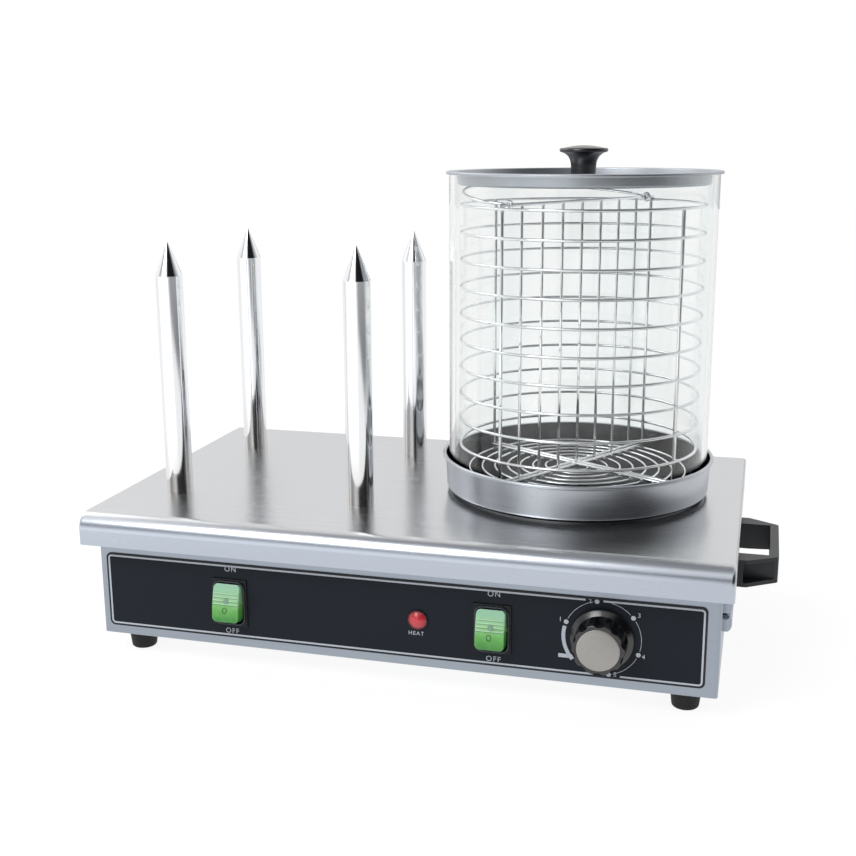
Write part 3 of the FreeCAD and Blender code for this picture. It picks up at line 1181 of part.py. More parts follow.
# --- assembly ---------------------------------------------------------------------------------------------
def build():
    grid = basket_floor()
    nodes = {
        "top_plate": top_plate(),
        "body_shell": body_shell(),
        "back_panel": back_panel(),
        "bottom_cover": bottom_cover(),
        "feet": feet(),
        "foot_screws": foot_screws(),
        "foot_nuts": foot_nuts(),
        "cover_screws": cover_screws(),
        "back_screws": back_screws(),
        "control_panel": control_panel(),
        "lamp_holder": lamp_holder(),
        "lamp_lens": lamp_lens(),
        "thermostat_body": thermostat_body(),
        "thermostat_screws": thermostat_screws(),
        "thermostat_shaft": thermostat_shaft(),
        "thermostat_knob": thermostat_knob(),
        "knob_cap": knob_cap(),
        "thermostat_bulb": thermostat_bulb(),
        "spike_heaters": spike_heaters(),
        "spike_washers": spike_washers(),
        "spike_nuts": spike_nuts(),
        "hot_plate": hot_plate(),
        "heater_band": heater_band(),
        "heater_clamp": heater_clamp(),
        "clamp_nuts": clamp_nuts(),
        "water_pan": water_pan(),
        "glass_cylinder": glass_cylinder(),
        "lid_dish": lid_dish(),
        "lid_knob": lid_knob(),
        "lid_screw": lid_screw(),
        "basket_hoops": basket_hoops(),
        "basket_posts": basket_posts(),
        "basket_divider": basket_divider().cut(grid),
        "basket_floor": grid,
        "basket_bail": basket_bail(),
        "handle_left": handle(-1),
        "handle_right": handle(1),
        "handle_screws": handle_screws(),
        "cable_gland": cable_gland(),
        "terminal_block": terminal_block(),
    }
    for name, place in SPIKE_PLACES.items():
        nodes[name] = spike(*place)
    for name, x in zip(("left", "right"), SWITCH_X):
        nodes["switch_housing_" + name] = switch_housing(x)
        nodes["rocker_" + name] = rocker(x)
    return nodes


os.makedirs("parts", exist_ok=True)
for node, shape in build().items():
    shape.exportStep(os.path.join("parts", node + ".step"))
    print(node, "valid", shape.isValid(), "solids", len(shape.Solids), "volume", round(shape.Volume, 1))
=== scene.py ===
import math
import bmesh
import bpy
from mathutils import Matrix, Vector


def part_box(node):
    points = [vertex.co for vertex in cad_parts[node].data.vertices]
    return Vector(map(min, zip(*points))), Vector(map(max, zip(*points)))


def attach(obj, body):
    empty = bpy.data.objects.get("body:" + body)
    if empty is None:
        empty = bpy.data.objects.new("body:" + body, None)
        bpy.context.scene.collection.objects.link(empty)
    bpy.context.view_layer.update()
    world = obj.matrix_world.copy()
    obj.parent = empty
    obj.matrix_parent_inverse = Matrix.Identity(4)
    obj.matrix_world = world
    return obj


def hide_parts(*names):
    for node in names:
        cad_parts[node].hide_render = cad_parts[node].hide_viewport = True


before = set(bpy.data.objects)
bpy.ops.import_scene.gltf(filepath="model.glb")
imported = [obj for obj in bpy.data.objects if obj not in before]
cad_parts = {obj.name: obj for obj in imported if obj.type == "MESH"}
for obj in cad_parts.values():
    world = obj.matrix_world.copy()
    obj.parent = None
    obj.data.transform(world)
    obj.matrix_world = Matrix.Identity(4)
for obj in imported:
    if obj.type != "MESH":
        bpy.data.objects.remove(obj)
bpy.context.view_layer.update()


# --- body shell and back panel -------------------------------------------------------------
# Front and side walls are folded from one stainless sheet, with louvres pressed into the
# sides. The back sheet is screwed to their flanges. All of it is brushed along its length.
def tint(red, green, blue):
    """A shader colour from the 0 to 255 values a screen shows."""
    return tuple((c / 255 / 12.92) if c < 11 else ((c / 255 + 0.055) / 1.055) ** 2.4
                 for c in (red, green, blue)) + (1.0,)


def feed(tree, node, inputs):
    """Gives a node's inputs numbers, colours or another node's output."""
    for socket, value in inputs.items():
        if isinstance(value, bpy.types.NodeSocket):
            tree.links.new(value, node.inputs[socket])
        else:
            node.inputs[socket].default_value = value


def put(tree, kind, inputs=None, **settings):
    """A new node of the tree, with its settings and its inputs."""
    node = tree.nodes.new("ShaderNode" + kind)
    for name, value in settings.items():
        setattr(node, name, value)
    feed(tree, node, inputs or {})
    return node


def reckon(tree, work, *values):
    """One sum of the tree, as an output socket."""
    return put(tree, "Math", dict(enumerate(values)), operation=work).outputs[0]


def times(tree, first, second):
    return reckon(tree, "MULTIPLY", first, second)


def spread(tree, value, low, high, start=0.0, end=1.0):
    """The value moved from start..end to low..high, and kept there."""
    ranged = {"Value": value, "From Min": start, "From Max": end, "To Min": low, "To Max": high}
    return put(tree, "MapRange", ranged).outputs[0]


def mixed(tree, amount, first, second):
    """Colour between two, by the amount."""
    return put(tree, "Mix", {0: amount, 6: first, 7: second}, data_type="RGBA").outputs[2]


def axes_of(tree, vector):
    """The three numbers of a vector."""
    return put(tree, "SeparateXYZ", {0: vector}).outputs


def vector_of(tree, *numbers):
    """A vector from its first numbers, the rest being 0."""
    return put(tree, "CombineXYZ", dict(enumerate(numbers))).outputs[0]


def length_of(tree, vector):
    return put(tree, "VectorMath", {0: vector}, operation="LENGTH").outputs["Value"]


def noise(tree, place, scale, detail, **more):
    """Soft noise from 0 to 1, at a place."""
    return put(tree, "TexNoise", {"Vector": place, "Scale": scale, "Detail": detail, **more}).outputs[0]


def relief(tree, strength, height):
    """A fine relief of the surface, as a normal."""
    return put(tree, "Bump", {"Strength": strength, "Distance": 0.0002, "Height": height}).outputs[0]


def effect(name, takes, gives):
    """A shader node group, what it is given, and the node that takes its results."""
    group = bpy.data.node_groups.new(name, "ShaderNodeTree")
    for label, value in takes.items():
        kind = "NodeSocketVector" if value is None else "NodeSocketFloat"
        socket = group.interface.new_socket(label, in_out="INPUT", socket_type=kind)
        if value is not None:
            socket.default_value = value
    for label, kind in gives.items():
        group.interface.new_socket(label, in_out="OUTPUT", socket_type="NodeSocket" + kind)
    return group, group.nodes.new("NodeGroupInput").outputs, group.nodes.new("NodeGroupOutput")


def make_brushed_grain():
    """Fine lines along the first axis of Place, as a sanding belt leaves them."""
    group, given, result = effect(
        "brushed_grain", {"Place": None, "Along": 7.0, "Across": 800.0, "Depth": 0.2},
        {"Streaks": "Float", "Normal": "Vector"})
    scale = vector_of(group, given["Along"], given["Across"], given["Across"])
    spot = put(group, "VectorMath", {0: given["Place"], 1: scale}, operation="MULTIPLY").outputs[0]
    broad = times(group, noise(group, spot, 1.0, 5.0, Roughness=0.7), 0.6)
    fine = times(group, noise(group, spot, 5.0, 2.0), 0.4)
    both = reckon(group, "ADD", broad, fine)
    feed(group, result, {"Streaks": spread(group, both, 0, 1, 0.3, 0.7),
                         "Normal": relief(group, given["Depth"], both)})
    return group


def make_handling_marks():
    """Soft smudges and wiped patches that hands and cloths leave."""
    group, given, result = effect("handling_marks", {"Place": None, "Size": 16.0}, {"Marks": "Float"})
    cloud = noise(group, given["Place"], given["Size"], 5.0, Roughness=0.6, Distortion=0.6)
    speck = noise(group, given["Place"], 260.0, 3.0)
    both = times(group, spread(group, cloud, 0, 1, 0.45, 0.75), spread(group, speck, 0.6, 1, 0.35, 0.6))
    feed(group, result, {"Marks": both})
    return group


def make_worn_and_highlit_edges():
    """White where the surface turns within the given width: partly wear, partly a painted highlight on edges.
    """
    group, given, result = effect("worn_and_highlit_edges", {"Width": 0.0006}, {"Mask": "Float"})
    rounded = put(group, "Bevel", {"Radius": given["Width"]}, samples=4).outputs[0]
    plain = put(group, "NewGeometry").outputs["Normal"]
    same = put(group, "VectorMath", {0: rounded, 1: plain}, operation="DOT_PRODUCT").outputs["Value"]
    feed(group, result, {"Mask": spread(group, same, 1, 0, 0.78, 0.985)})
    return group


brushed_grain = make_brushed_grain()
handling_marks = make_handling_marks()
worn_and_highlit_edges = make_worn_and_highlit_edges()


def placed(tree, group, **values):
    """An effect placed in a material with its own values, as its outputs."""
    return put(tree, "Group", values, node_tree=group).outputs


def own_place(tree):
    """Where a point lies on the piece itself."""
    return put(tree, "TexCoord").outputs["Object"]


def marks_on(tree, size=16.0):
    return placed(tree, handling_marks, Place=own_place(tree), Size=size)["Marks"]


def edges_on(tree, width):
    return placed(tree, worn_and_highlit_edges, Width=width)["Mask"]


def new_finish(name):
    """A material, its tree and its shader."""
    material = bpy.data.materials.new(name)
    material.use_nodes = True
    return material, material.node_tree, material.node_tree.nodes["Principled BSDF"]


def overlay(tree, shader, amount, colour):
    """Lays a colour over the one that the shader has, by the amount."""
    under = shader.inputs["Base Color"].links[0].from_socket
    feed(tree, shader, {"Base Color": mixed(tree, amount, under, colour)})


def dress(material, *names):
    """Gives nodes of the frame their finish."""
    for name in names:
        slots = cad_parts[name].data.materials
        for number in range(len(slots)):
            slots[number] = material


def steel_finish(tree, shader, grain, shade, light, smooth, rough, edge=0.0006):
    """Bare metal: streaks in its colour and gloss, marks from handling, and edges painted bright, partly as
    wear and partly as a painted highlight.
    """
    colour = mixed(tree, grain["Streaks"], shade, light)
    gloss = spread(tree, grain["Streaks"], smooth, rough)
    feed(tree, shader, {
        "Base Color": mixed(tree, times(tree, edges_on(tree, edge), 0.5), colour, tint(236, 238, 240)),
        "Roughness": reckon(tree, "ADD", gloss, times(tree, marks_on(tree), 0.012)),
        "Normal": grain["Normal"], "Metallic": 1.0})


APRON_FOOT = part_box("top_plate")[0].z


def make_wall_steel():
    """Grain level on every wall, along X in front and along Y at the sides, and a painted shadow line under
    the apron.
    """
    material, tree, shader = new_finish("brushed_walls")
    spot = axes_of(tree, own_place(tree))
    place = vector_of(tree, reckon(tree, "ADD", spot[0], spot[1]), spot[2])
    grain = placed(tree, brushed_grain, Place=place, Across=700.0, Depth=0.12)
    steel_finish(tree, shader, grain, tint(158, 166, 177), tint(171, 179, 190), 0.30, 0.38)
    # A thin dark band just below the apron's foot, on the front only, is painted shadow.
    painted_apron_shadow = spread(tree, spot[2], 0, 0.85, APRON_FOOT - 0.0014, APRON_FOOT - 0.0008)
    in_front = reckon(tree, "LESS_THAN", spot[1], 0.0)
    overlay(tree, shader, times(tree, painted_apron_shadow, in_front), tint(40, 44, 50))
    return material


dress(make_wall_steel(), "body_shell", "back_panel")


# --- bottom cover ----------------------------------------------------------------------------
# A galvanised sheet with ventilation slots, screwed to the flanges from below. Zinc sets in
# broad flakes, each a little lighter or darker than the next.
def make_galvanised():
    material, tree, shader = new_finish("galvanised_cover")
    flakes = put(tree, "TexVoronoi", {"Vector": own_place(tree), "Scale": 90.0}).outputs["Color"]
    tone = put(tree, "SeparateColor", {0: flakes}).outputs[0]
    frost = noise(tree, own_place(tree), 600.0, 3.0)
    colour = mixed(tree, tone, tint(168, 171, 174), tint(196, 199, 201))
    feed(tree, shader, {
        "Base Color": mixed(tree, edges_on(tree, 0.0005), colour, tint(222, 223, 224)),
        "Roughness": spread(tree, tone, 0.34, 0.5), "Normal": relief(tree, 0.1, frost), "Metallic": 1.0})
    return material


dress(make_galvanised(), "bottom_cover")


# --- feet --------------------------------------------------------------------------------------
# Four moulded rubber feet, each held by a screw through its middle and a nut above the
# cover. The rubber is matt and carries a little dust round its foot.
def make_moulded_texture():
    """Fine even roughness of a spark-eroded mould."""
    group, given, result = effect(
        "moulded_texture", {"Place": None, "Fineness": 1800.0, "Depth": 0.2},
        {"Grain": "Float", "Normal": "Vector"})
    pits = put(group, "TexVoronoi", {"Vector": given["Place"], "Scale": given["Fineness"]},
               feature="SMOOTH_F1").outputs[0]
    both = times(group, pits, noise(group, given["Place"], given["Fineness"], 3.0))
    feed(group, result, {"Grain": spread(group, both, 0, 1, 0.05, 0.5),
                         "Normal": relief(group, given["Depth"], both)})
    return group


moulded_texture = make_moulded_texture()


def moulded(name, deep, pale, rubbed_and_highlit, gloss, fineness, depth, shine=0.5):
    """Finish of a moulded piece: grain in its colour and gloss, smudges, and edges paler, partly rubbed and
    partly a painted highlight.
    """
    material, tree, shader = new_finish(name)
    grain = placed(tree, moulded_texture, Place=own_place(tree), Fineness=fineness, Depth=depth)
    colour = mixed(tree, grain["Grain"], deep, pale)
    feed(tree, shader, {
        "Base Color": mixed(tree, times(tree, edges_on(tree, 0.0004), 0.6), colour, rubbed_and_highlit),
        "Roughness": reckon(tree, "ADD", spread(tree, grain["Grain"], *gloss),
                            times(tree, marks_on(tree, 30.0), 0.1)),
        "Normal": grain["Normal"], "Specular IOR Level": shine})
    return material


foot_rubber = moulded("foot_rubber", tint(24, 24, 26), tint(38, 39, 42), tint(62, 63, 66), (0.55, 0.75),
                      900.0, 0.4, 0.4)
dress(foot_rubber, "feet")


# --- screws, nuts and other plated fixings -------------------------------------------------------
# Zinc-plated steel, bright with a faint blue and yellow cast where the plating varies, and
# duller where a tool has turned it.
def make_zinc_plating():
    material, tree, shader = new_finish("zinc_plating")
    cast = spread(tree, noise(tree, own_place(tree), 140.0, 2.0), 0, 1, 0.4, 0.6)
    colour = mixed(tree, cast, tint(182, 190, 198), tint(205, 202, 186))
    feed(tree, shader, {
        "Base Color": mixed(tree, edges_on(tree, 0.0003), colour, tint(228, 228, 226)),
        "Roughness": spread(tree, marks_on(tree, 60.0), 0.22, 0.42), "Metallic": 1.0})
    return material


dress(make_zinc_plating(), "foot_screws", "foot_nuts", "cover_screws", "back_screws", "thermostat_body",
      "thermostat_screws", "thermostat_shaft", "spike_washers", "spike_nuts", "heater_clamp",
      "clamp_nuts", "handle_screws", "lid_screw")


# --- top plate -----------------------------------------------------------------------------------
# One folded stainless sheet with a bullnose along its front. The brushing runs the length of
# the top, down over the roll, and turns upright where the sheet is folded down at the sides.
def make_plate_steel():
    material, tree, shader = new_finish("brushed_top_plate")
    spot = axes_of(tree, own_place(tree))
    facing = axes_of(tree, put(tree, "NewGeometry").outputs["True Normal"])
    side = reckon(tree, "GREATER_THAN", reckon(tree, "ABSOLUTE", facing[0]), 0.7)
    level = reckon(tree, "SUBTRACT", 1.0, side)
    along = reckon(tree, "ADD", times(tree, spot[0], level), times(tree, spot[2], side))
    across = reckon(tree, "SUBTRACT", spot[1], times(tree, spot[2], level))
    grain = placed(tree, brushed_grain, Place=vector_of(tree, along, across), Along=6.0, Depth=0.03)
    steel_finish(tree, shader, grain, tint(203, 204, 206), tint(216, 217, 219), 0.22, 0.29)
    feed(tree, shader, {"Anisotropic": 0.5, "Tangent": vector_of(tree, 0.0, 1.0)})
    # Faces turned to the front are painted a cool bluish grey, a painted reflection on the apron and roll.
    overlay(tree, shader, spread(tree, facing[1], 0, 1, -0.35, -0.95), tint(192, 199, 210))
    return material


dress(make_plate_steel(), "top_plate")


# --- control panel ---------------------------------------------------------------------------------
# A thin sheet with a slate print, glued to the front wall. A dark edge and a pale line run
# round it, and the words and the dial's scale are printed in light grey.
def make_ink(name, colour, thin):
    """Screen-printed ink, a little thinner here and there."""
    material, tree, shader = new_finish(name)
    screen = noise(tree, own_place(tree), 2500.0, 2.0)
    feed(tree, shader, {"Base Color": mixed(tree, spread(tree, screen, 0, 1, 0.4, 0.7), colour, thin),
                        "Roughness": spread(tree, screen, 0.4, 0.55)})
    return material


panel_low, panel_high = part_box("control_panel")
panel_middle = (panel_low + panel_high) / 2
INK = 0.00005                       # thickness of the printed film
PRINT_Y = panel_low.y - INK
FACING_FRONT = (math.pi / 2, 0, 0)  # stands a flat piece upright
WORD_HEIGHT = 0.0040
ON_HEIGHT, OFF_HEIGHT = 0.0765, 0.0284
slate_print = moulded("slate_print", tint(31, 36, 44), tint(36, 41, 50), tint(74, 81, 92), (0.34, 0.42),
                      1500.0, 0.08, 0.14)
light_ink = make_ink("light_grey_ink", tint(212, 219, 229), tint(192, 200, 211))
dark_ink = make_ink("dark_edge_ink", tint(14, 18, 25), tint(20, 25, 33))


def deselect_all():
    if bpy.context.object and bpy.context.object.mode != "OBJECT":
        bpy.ops.object.mode_set(mode="OBJECT")
    bpy.ops.object.select_all(action="DESELECT")


def choose(piece):
    """Leaves one piece selected and active, in object mode."""
    deselect_all()
    piece.select_set(True)
    bpy.context.view_layer.objects.active = piece


def apply_place():
    bpy.ops.object.transform_apply(location=True, rotation=True, scale=True)


def take_all():
    bpy.ops.mesh.select_all(action="SELECT")


def start_piece(add, scale=(1, 1, 1), **sizes):
    """Adds a primitive, puts its place into its mesh and opens it in edit mode, all selected."""
    deselect_all()
    add(**sizes)
    piece = bpy.context.object
    piece.scale = scale
    apply_place()
    bpy.ops.object.mode_set(mode="EDIT")
    take_all()
    return piece


def face_outwards(merge=None):
    """Turns every face outwards, after doubles nearer than merge are joined."""
    take_all()
    if merge:
        bpy.ops.mesh.remove_doubles(threshold=merge)
    bpy.ops.mesh.normals_make_consistent(inside=False)


def smoothed(piece, crease):
    """Ends a piece's editing, with edges sharper than the crease, in degrees, left sharp."""
    bpy.ops.object.mode_set(mode="OBJECT")
    bpy.ops.object.shade_smooth_by_angle(angle=math.radians(crease))
    return piece


def pick(test, kind="faces"):
    """Selects in edit mode the faces or vertices whose middle passes the test."""
    mesh = bmesh.from_edit_mesh(bpy.context.object.data)
    bpy.ops.mesh.select_mode(type={"faces": "FACE", "verts": "VERT"}[kind])
    bpy.ops.mesh.select_all(action="DESELECT")
    for part in getattr(mesh, kind):
        if test(part, part.co if kind == "verts" else part.calc_center_median()):
            part.select_set(True)
    mesh.select_flush_mode()
    bmesh.update_edit_mesh(bpy.context.object.data)


def settle(piece, name, material, body):
    """Names a finished piece, puts its place into its mesh and lets it ride on its body."""
    choose(piece)
    piece.name = name
    piece.data.name = name
    apply_place()
    piece.data.materials.clear()
    piece.data.materials.append(material)
    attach(piece, body)


def join_copies(pieces):
    """Makes one object of several."""
    choose(pieces[0])
    for piece in pieces:
        piece.select_set(True)
    bpy.ops.object.join()
    return bpy.context.object


def thicken_print():
    """Gives the flat print in edit mode its film, towards the panel."""
    take_all()
    bpy.ops.mesh.extrude_region_move(TRANSFORM_OT_translate={"value": (0, INK, 0)})
    face_outwards()


def frame_line(name, inset, width, corner, material, gaps):
    """A printed line round the panel, with gaps given as (x from, x to, above or below)."""
    size = panel_high - panel_low
    line = start_piece(bpy.ops.mesh.primitive_plane_add, scale=(size.x - 2 * inset, size.z - 2 * inset, 1),
                       size=1, location=(panel_middle.x, PRINT_Y, panel_middle.z), rotation=FACING_FRONT)
    bpy.ops.mesh.bevel(offset=corner, segments=8, affect="VERTICES")
    take_all()
    bpy.ops.mesh.inset(thickness=width)
    bpy.ops.mesh.delete(type="FACE")
    for start, end, above in gaps:
        for x in (start, end):
            take_all()
            bpy.ops.mesh.bisect(plane_co=(x, 0, 0), plane_no=(1, 0, 0))
        pick(lambda face, at: start < at.x < end and (at.z > panel_middle.z) == above)
        bpy.ops.mesh.delete(type="FACE")
    thicken_print()
    settle(line, name, material, "base")


def printed_text(name, words, x, z, height=WORD_HEIGHT):
    """Letters of the panel, centred on a point."""
    deselect_all()
    bpy.ops.object.text_add(location=(x, PRINT_Y, z), rotation=FACING_FRONT)
    letters = bpy.context.object.data
    letters.body = words
    letters.size = height * 1.38        # the font's capitals are lower than its size
    letters.space_character = 1.2
    letters.resolution_u = 6
    letters.align_x = "CENTER"
    letters.align_y = "CENTER"
    bpy.ops.object.convert(target="MESH")
    text = bpy.context.object
    apply_place()
    bpy.ops.object.mode_set(mode="EDIT")
    thicken_print()
    settle(text, name, light_ink, "base")


dress(slate_print, "control_panel")
frame_line("panel_dark_edge", 0.0002, 0.0012, 0.0038, dark_ink, [])
frame_line("panel_light_line", 0.0015, 0.0013, 0.0028, light_ink,
           [(0.139, 0.1511, True), (0.1451, 0.1637, False)])
printed_text("word_on_left", "ON", -0.1220, ON_HEIGHT)
printed_text("word_off_left", "OFF", -0.1222, OFF_HEIGHT)
printed_text("word_on_right", "ON", 0.0757, ON_HEIGHT)
printed_text("word_off_right", "OFF", 0.0755, OFF_HEIGHT - 0.0001)
printed_text("word_heat", "HEAT", 0.0195, 0.0416, 0.0030)


# --- scale of the dial -----------------------------------------------------------------------------
# Printed with the panel: five dots with their numbers on a circle round the knob, thin arcs
# between them, and a broad arc with a foot at the off end.
DIAL_X, DIAL_Z = 0.1509, 0.0521
DIAL_MIDDLE = Vector((DIAL_X, PRINT_Y, DIAL_Z))
SCALE_RADIUS = 0.0265
DOT_RADIUS = 0.00165
DOT_ANGLES = (159, 99, 39, -21, -79)
ARC_GAPS = {159: 6, 99: 22, 39: 6, -21: 6}      # degrees from each dot to its arc
THIN_ARC, BROAD_ARC = 0.00035, 0.0026
FOOT_X, FOOT_Z = 0.12675, 0.0367


def scale_dot(degrees):
    angle = math.radians(degrees)
    place = DIAL_MIDDLE + SCALE_RADIUS * Vector((math.cos(angle), 0, math.sin(angle)))
    dot = start_piece(bpy.ops.mesh.primitive_circle_add, vertices=20, radius=DOT_RADIUS, fill_type="NGON",
                      location=place, rotation=FACING_FRONT)
    thicken_print()
    return dot


def scale_arc(start, end, width, steps):
    """A printed arc: a short edge across the line, spun round the dial's middle."""
    arc = start_piece(bpy.ops.mesh.primitive_plane_add, size=width, rotation=FACING_FRONT,
                      location=(DIAL_X + SCALE_RADIUS, PRINT_Y, DIAL_Z))
    pick(lambda vert, at: at.z > DIAL_Z, "verts")
    bpy.ops.mesh.delete(type="VERT")
    take_all()
    bpy.ops.transform.translate(value=(0, 0, width / 2))
    edge = bmesh.from_edit_mesh(arc.data)
    turn = Matrix.Rotation(-math.radians(start), 4, "Y")
    for vert in edge.verts:
        vert.co = DIAL_MIDDLE + turn @ (vert.co - DIAL_MIDDLE)
    bmesh.update_edit_mesh(arc.data)
    take_all()
    bpy.ops.mesh.spin(steps=steps, angle=math.radians(end - start), center=DIAL_MIDDLE, axis=(0, 1, 0))
    thicken_print()
    return arc


def scale_foot():
    """Foot of the broad arc, pointing away from the dial, its inner corner cut back."""
    foot = start_piece(bpy.ops.mesh.primitive_plane_add, scale=(0.0111, 0.0028, 1), size=1,
                       location=(FOOT_X, PRINT_Y - INK * 0.3, FOOT_Z), rotation=FACING_FRONT)
    pick(lambda vert, at: at.x > FOOT_X and at.z > FOOT_Z, "verts")
    bpy.ops.transform.translate(value=(-0.0018, 0, 0))
    thicken_print()
    return foot


scale_pieces = [scale_dot(degrees) for degrees in DOT_ANGLES]
scale_pieces += [scale_arc(last + 6, first - ARC_GAPS[first], THIN_ARC, 16)
                 for first, last in zip(DOT_ANGLES, DOT_ANGLES[1:])]
scale_pieces += [scale_arc(166, 221, BROAD_ARC, 24), scale_foot()]
settle(join_copies(scale_pieces), "dial_scale", light_ink, "base")
for number, x, z in (("1", 0.1221, 0.0631), ("2", 0.1421, 0.0781), ("3", 0.1753, 0.0709),
                     ("4", 0.1791, 0.0415), ("5", 0.1603, 0.0265)):
    printed_text("dial_number_" + number, number, x, z, 0.0033)


# --- rocker switches -------------------------------------------------------------------------------
# Black housings snap into the front wall, each with a rounded collar round its window. The
# rockers are green translucent plastic on two pins; their upper ends are pressed in.
def make_green_rocker():
    """Clear tinted plastic with painted light: paler towards the top, deeper green below."""
    material, tree, shader = new_finish("green_rocker")
    cloud = noise(tree, own_place(tree), 220.0, 2.0)
    # The green lightens upwards as painted light and shade on the face.
    painted_light_rise = spread(tree, axes_of(tree, own_place(tree))[2], 0, 1, 0.0385, 0.0665)
    height = reckon(tree, "ADD", painted_light_rise, spread(tree, cloud, -0.05, 0.05, 0.3, 0.7))
    ramp = put(tree, "ValToRGB", {0: height})
    stops = ramp.color_ramp.elements
    stops[0].color = tint(70, 150, 72)
    stops[1].color = tint(176, 224, 196)
    for position, colour in ((0.3, (110, 190, 92)), (0.5, (140, 210, 128)), (0.58, (170, 226, 168))):
        stops.new(position).color = tint(*colour)
    # Pale edges of the rocker's face are a painted highlight.
    edges = times(tree, edges_on(tree, 0.0008), 0.8)
    feed(tree, shader, {
        "Base Color": mixed(tree, edges, ramp.outputs[0], tint(222, 244, 224)),
        "Roughness": spread(tree, cloud, 0.16, 0.24), "Subsurface Weight": 0.3,
        "Subsurface Radius": (0.2, 1.0, 0.3), "Subsurface Scale": 0.002})
    return material


def make_rocker_mark(name, deep, pale):
    return moulded(name, deep, pale, pale, (0.3, 0.4), 2200.0, 0.1)


ROCKER_Z = 0.0512
PIN_Y = -0.1308                     # the pins that the rockers tilt on
PRESSED = math.radians(-12)         # the rockers' tilt at rest
RIB_HEIGHTS = (0.0072, 0.0046, 0.0020, -0.0006)
RIB_REACH = 0.0097
COLLAR_Y = -0.13385
COLLAR_CORNER = 0.0057
# The housing's pale edge colour is mostly a painted highlight along its collar.
switch_black = moulded("switch_black", tint(11, 13, 16), tint(17, 19, 24), tint(120, 128, 140), (0.22, 0.34),
                       1600.0, 0.06, 0.3)
pale_mark = make_rocker_mark("rocker_pale_mark", tint(132, 168, 144), tint(150, 184, 160))
deep_mark = make_rocker_mark("rocker_deep_mark", tint(52, 104, 56), tint(70, 122, 70))
# Pale ribs are a painted highlight; the darker rods under them are painted shadow.
rib_highlight_green = make_rocker_mark("rocker_rib_highlight_green", tint(190, 236, 190), tint(206, 244, 208))
rib_shadow_green = make_rocker_mark("rocker_rib_shadow_green", tint(96, 156, 104), tint(110, 168, 116))
# The lip's paler grey is a painted highlight.
lip_highlight_grey = make_rocker_mark("lip_painted_highlight", tint(52, 58, 67), tint(74, 81, 92))


def straight_rod(start, end, wire, sides=10):
    """A cut length of wire with its ends broken."""
    deselect_all()
    start, end = Vector(start), Vector(end)
    run = end - start
    bpy.ops.mesh.primitive_cylinder_add(vertices=sides, radius=wire, depth=run.length,
                                        location=(start + end) / 2,
                                        rotation=run.to_track_quat("Z", "Y").to_euler())
    rod = bpy.context.object
    bpy.ops.object.mode_set(mode="EDIT")
    pick(lambda face, at: len(face.verts) > 4)
    bpy.ops.mesh.bevel(offset=wire * 0.4, segments=2, affect="EDGES")
    bpy.ops.object.mode_set(mode="OBJECT")
    apply_place()
    return smoothed(rod, 50)


def bend(across, up, radius, first, last, steps=8):
    """Points of a round corner about its middle, from one angle to another, in degrees."""
    angles = [math.radians(first + (last - first) * step / steps) for step in range(steps + 1)]
    return [(across + radius * math.cos(angle), up + radius * math.sin(angle)) for angle in angles]


def turned_piece(outline, sides=96, crease=32, filled=True, middle=(0.0, 0.0)):
    """A round piece: a circle drawn along an outline of radius and height, given in mm."""
    across, up = outline[0]
    piece = start_piece(bpy.ops.mesh.primitive_circle_add, vertices=sides, radius=across / 1000,
                        fill_type="NGON" if filled else "NOTHING", location=(*middle, up / 1000))
    bpy.ops.mesh.select_mode(type="VERT")
    take_all()
    for (last, low), (across, up) in zip(outline, outline[1:]):
        bpy.ops.mesh.extrude_region_move(TRANSFORM_OT_translate={"value": (0, 0, (up - low) / 1000)})
        bpy.ops.transform.resize(value=(across / last, across / last, 1),
                                 center_override=(*middle, up / 1000))
    face_outwards(merge=0.000002)
    return smoothed(piece, crease)


def crown(height):
    """How far the rocker's face stands in front of its pins, at a height on the face."""
    return 0.0098 - height * height / 0.1716


def cross_rods(drop, sink, wire):
    """Four rods across the rocker's face, lower than the ribs' middles and sunk into it."""
    return join_copies([straight_rod((-RIB_REACH, height - drop, crown(height) - sink),
                                     (RIB_REACH, height - drop, crown(height) - sink), wire)
                        for height in RIB_HEIGHTS])


def rocker_marks(side, x):
    """Four grip ribs painted pale as a highlight, with dark rods below them as painted shadow, a round mark
    and a ring on the face of one rocker.
    """
    face = Matrix.Translation((x, PIN_Y, ROCKER_Z)) @ Matrix.Rotation(PRESSED + math.pi / 2, 4, "X")
    ribs = cross_rods(0, 0, 0.0005)
    rib_shadows = cross_rods(0.0008, 0.0002, 0.0003)
    dot = turned_piece([(1.9, 0.0), (2.1, 0.1), (2.1, 0.3), (1.9, 0.42), (1.6, 0.45)], 40)
    dot.data.transform(Matrix.Translation((0.0006, 0.0018, crown(0.0018) + 0.0003)))
    ring = turned_piece(bend(1.75, 0.2, 0.28, 0, 360, 12), 40, filled=False)
    ring.data.transform(Matrix.Translation((-0.0004, -0.0053, crown(-0.0053) - 0.0001))
                        @ Matrix.Diagonal((0.9, 1.12, 1, 1)))
    for piece, name, material in ((ribs, "rocker_ribs_", rib_highlight_green),
                                  (rib_shadows, "rocker_rib_shadows_", rib_shadow_green),
                                  (dot, "rocker_dot_", pale_mark), (ring, "rocker_ring_", deep_mark)):
        piece.data.transform(face)
        settle(piece, name + side, material, "switch_" + side)


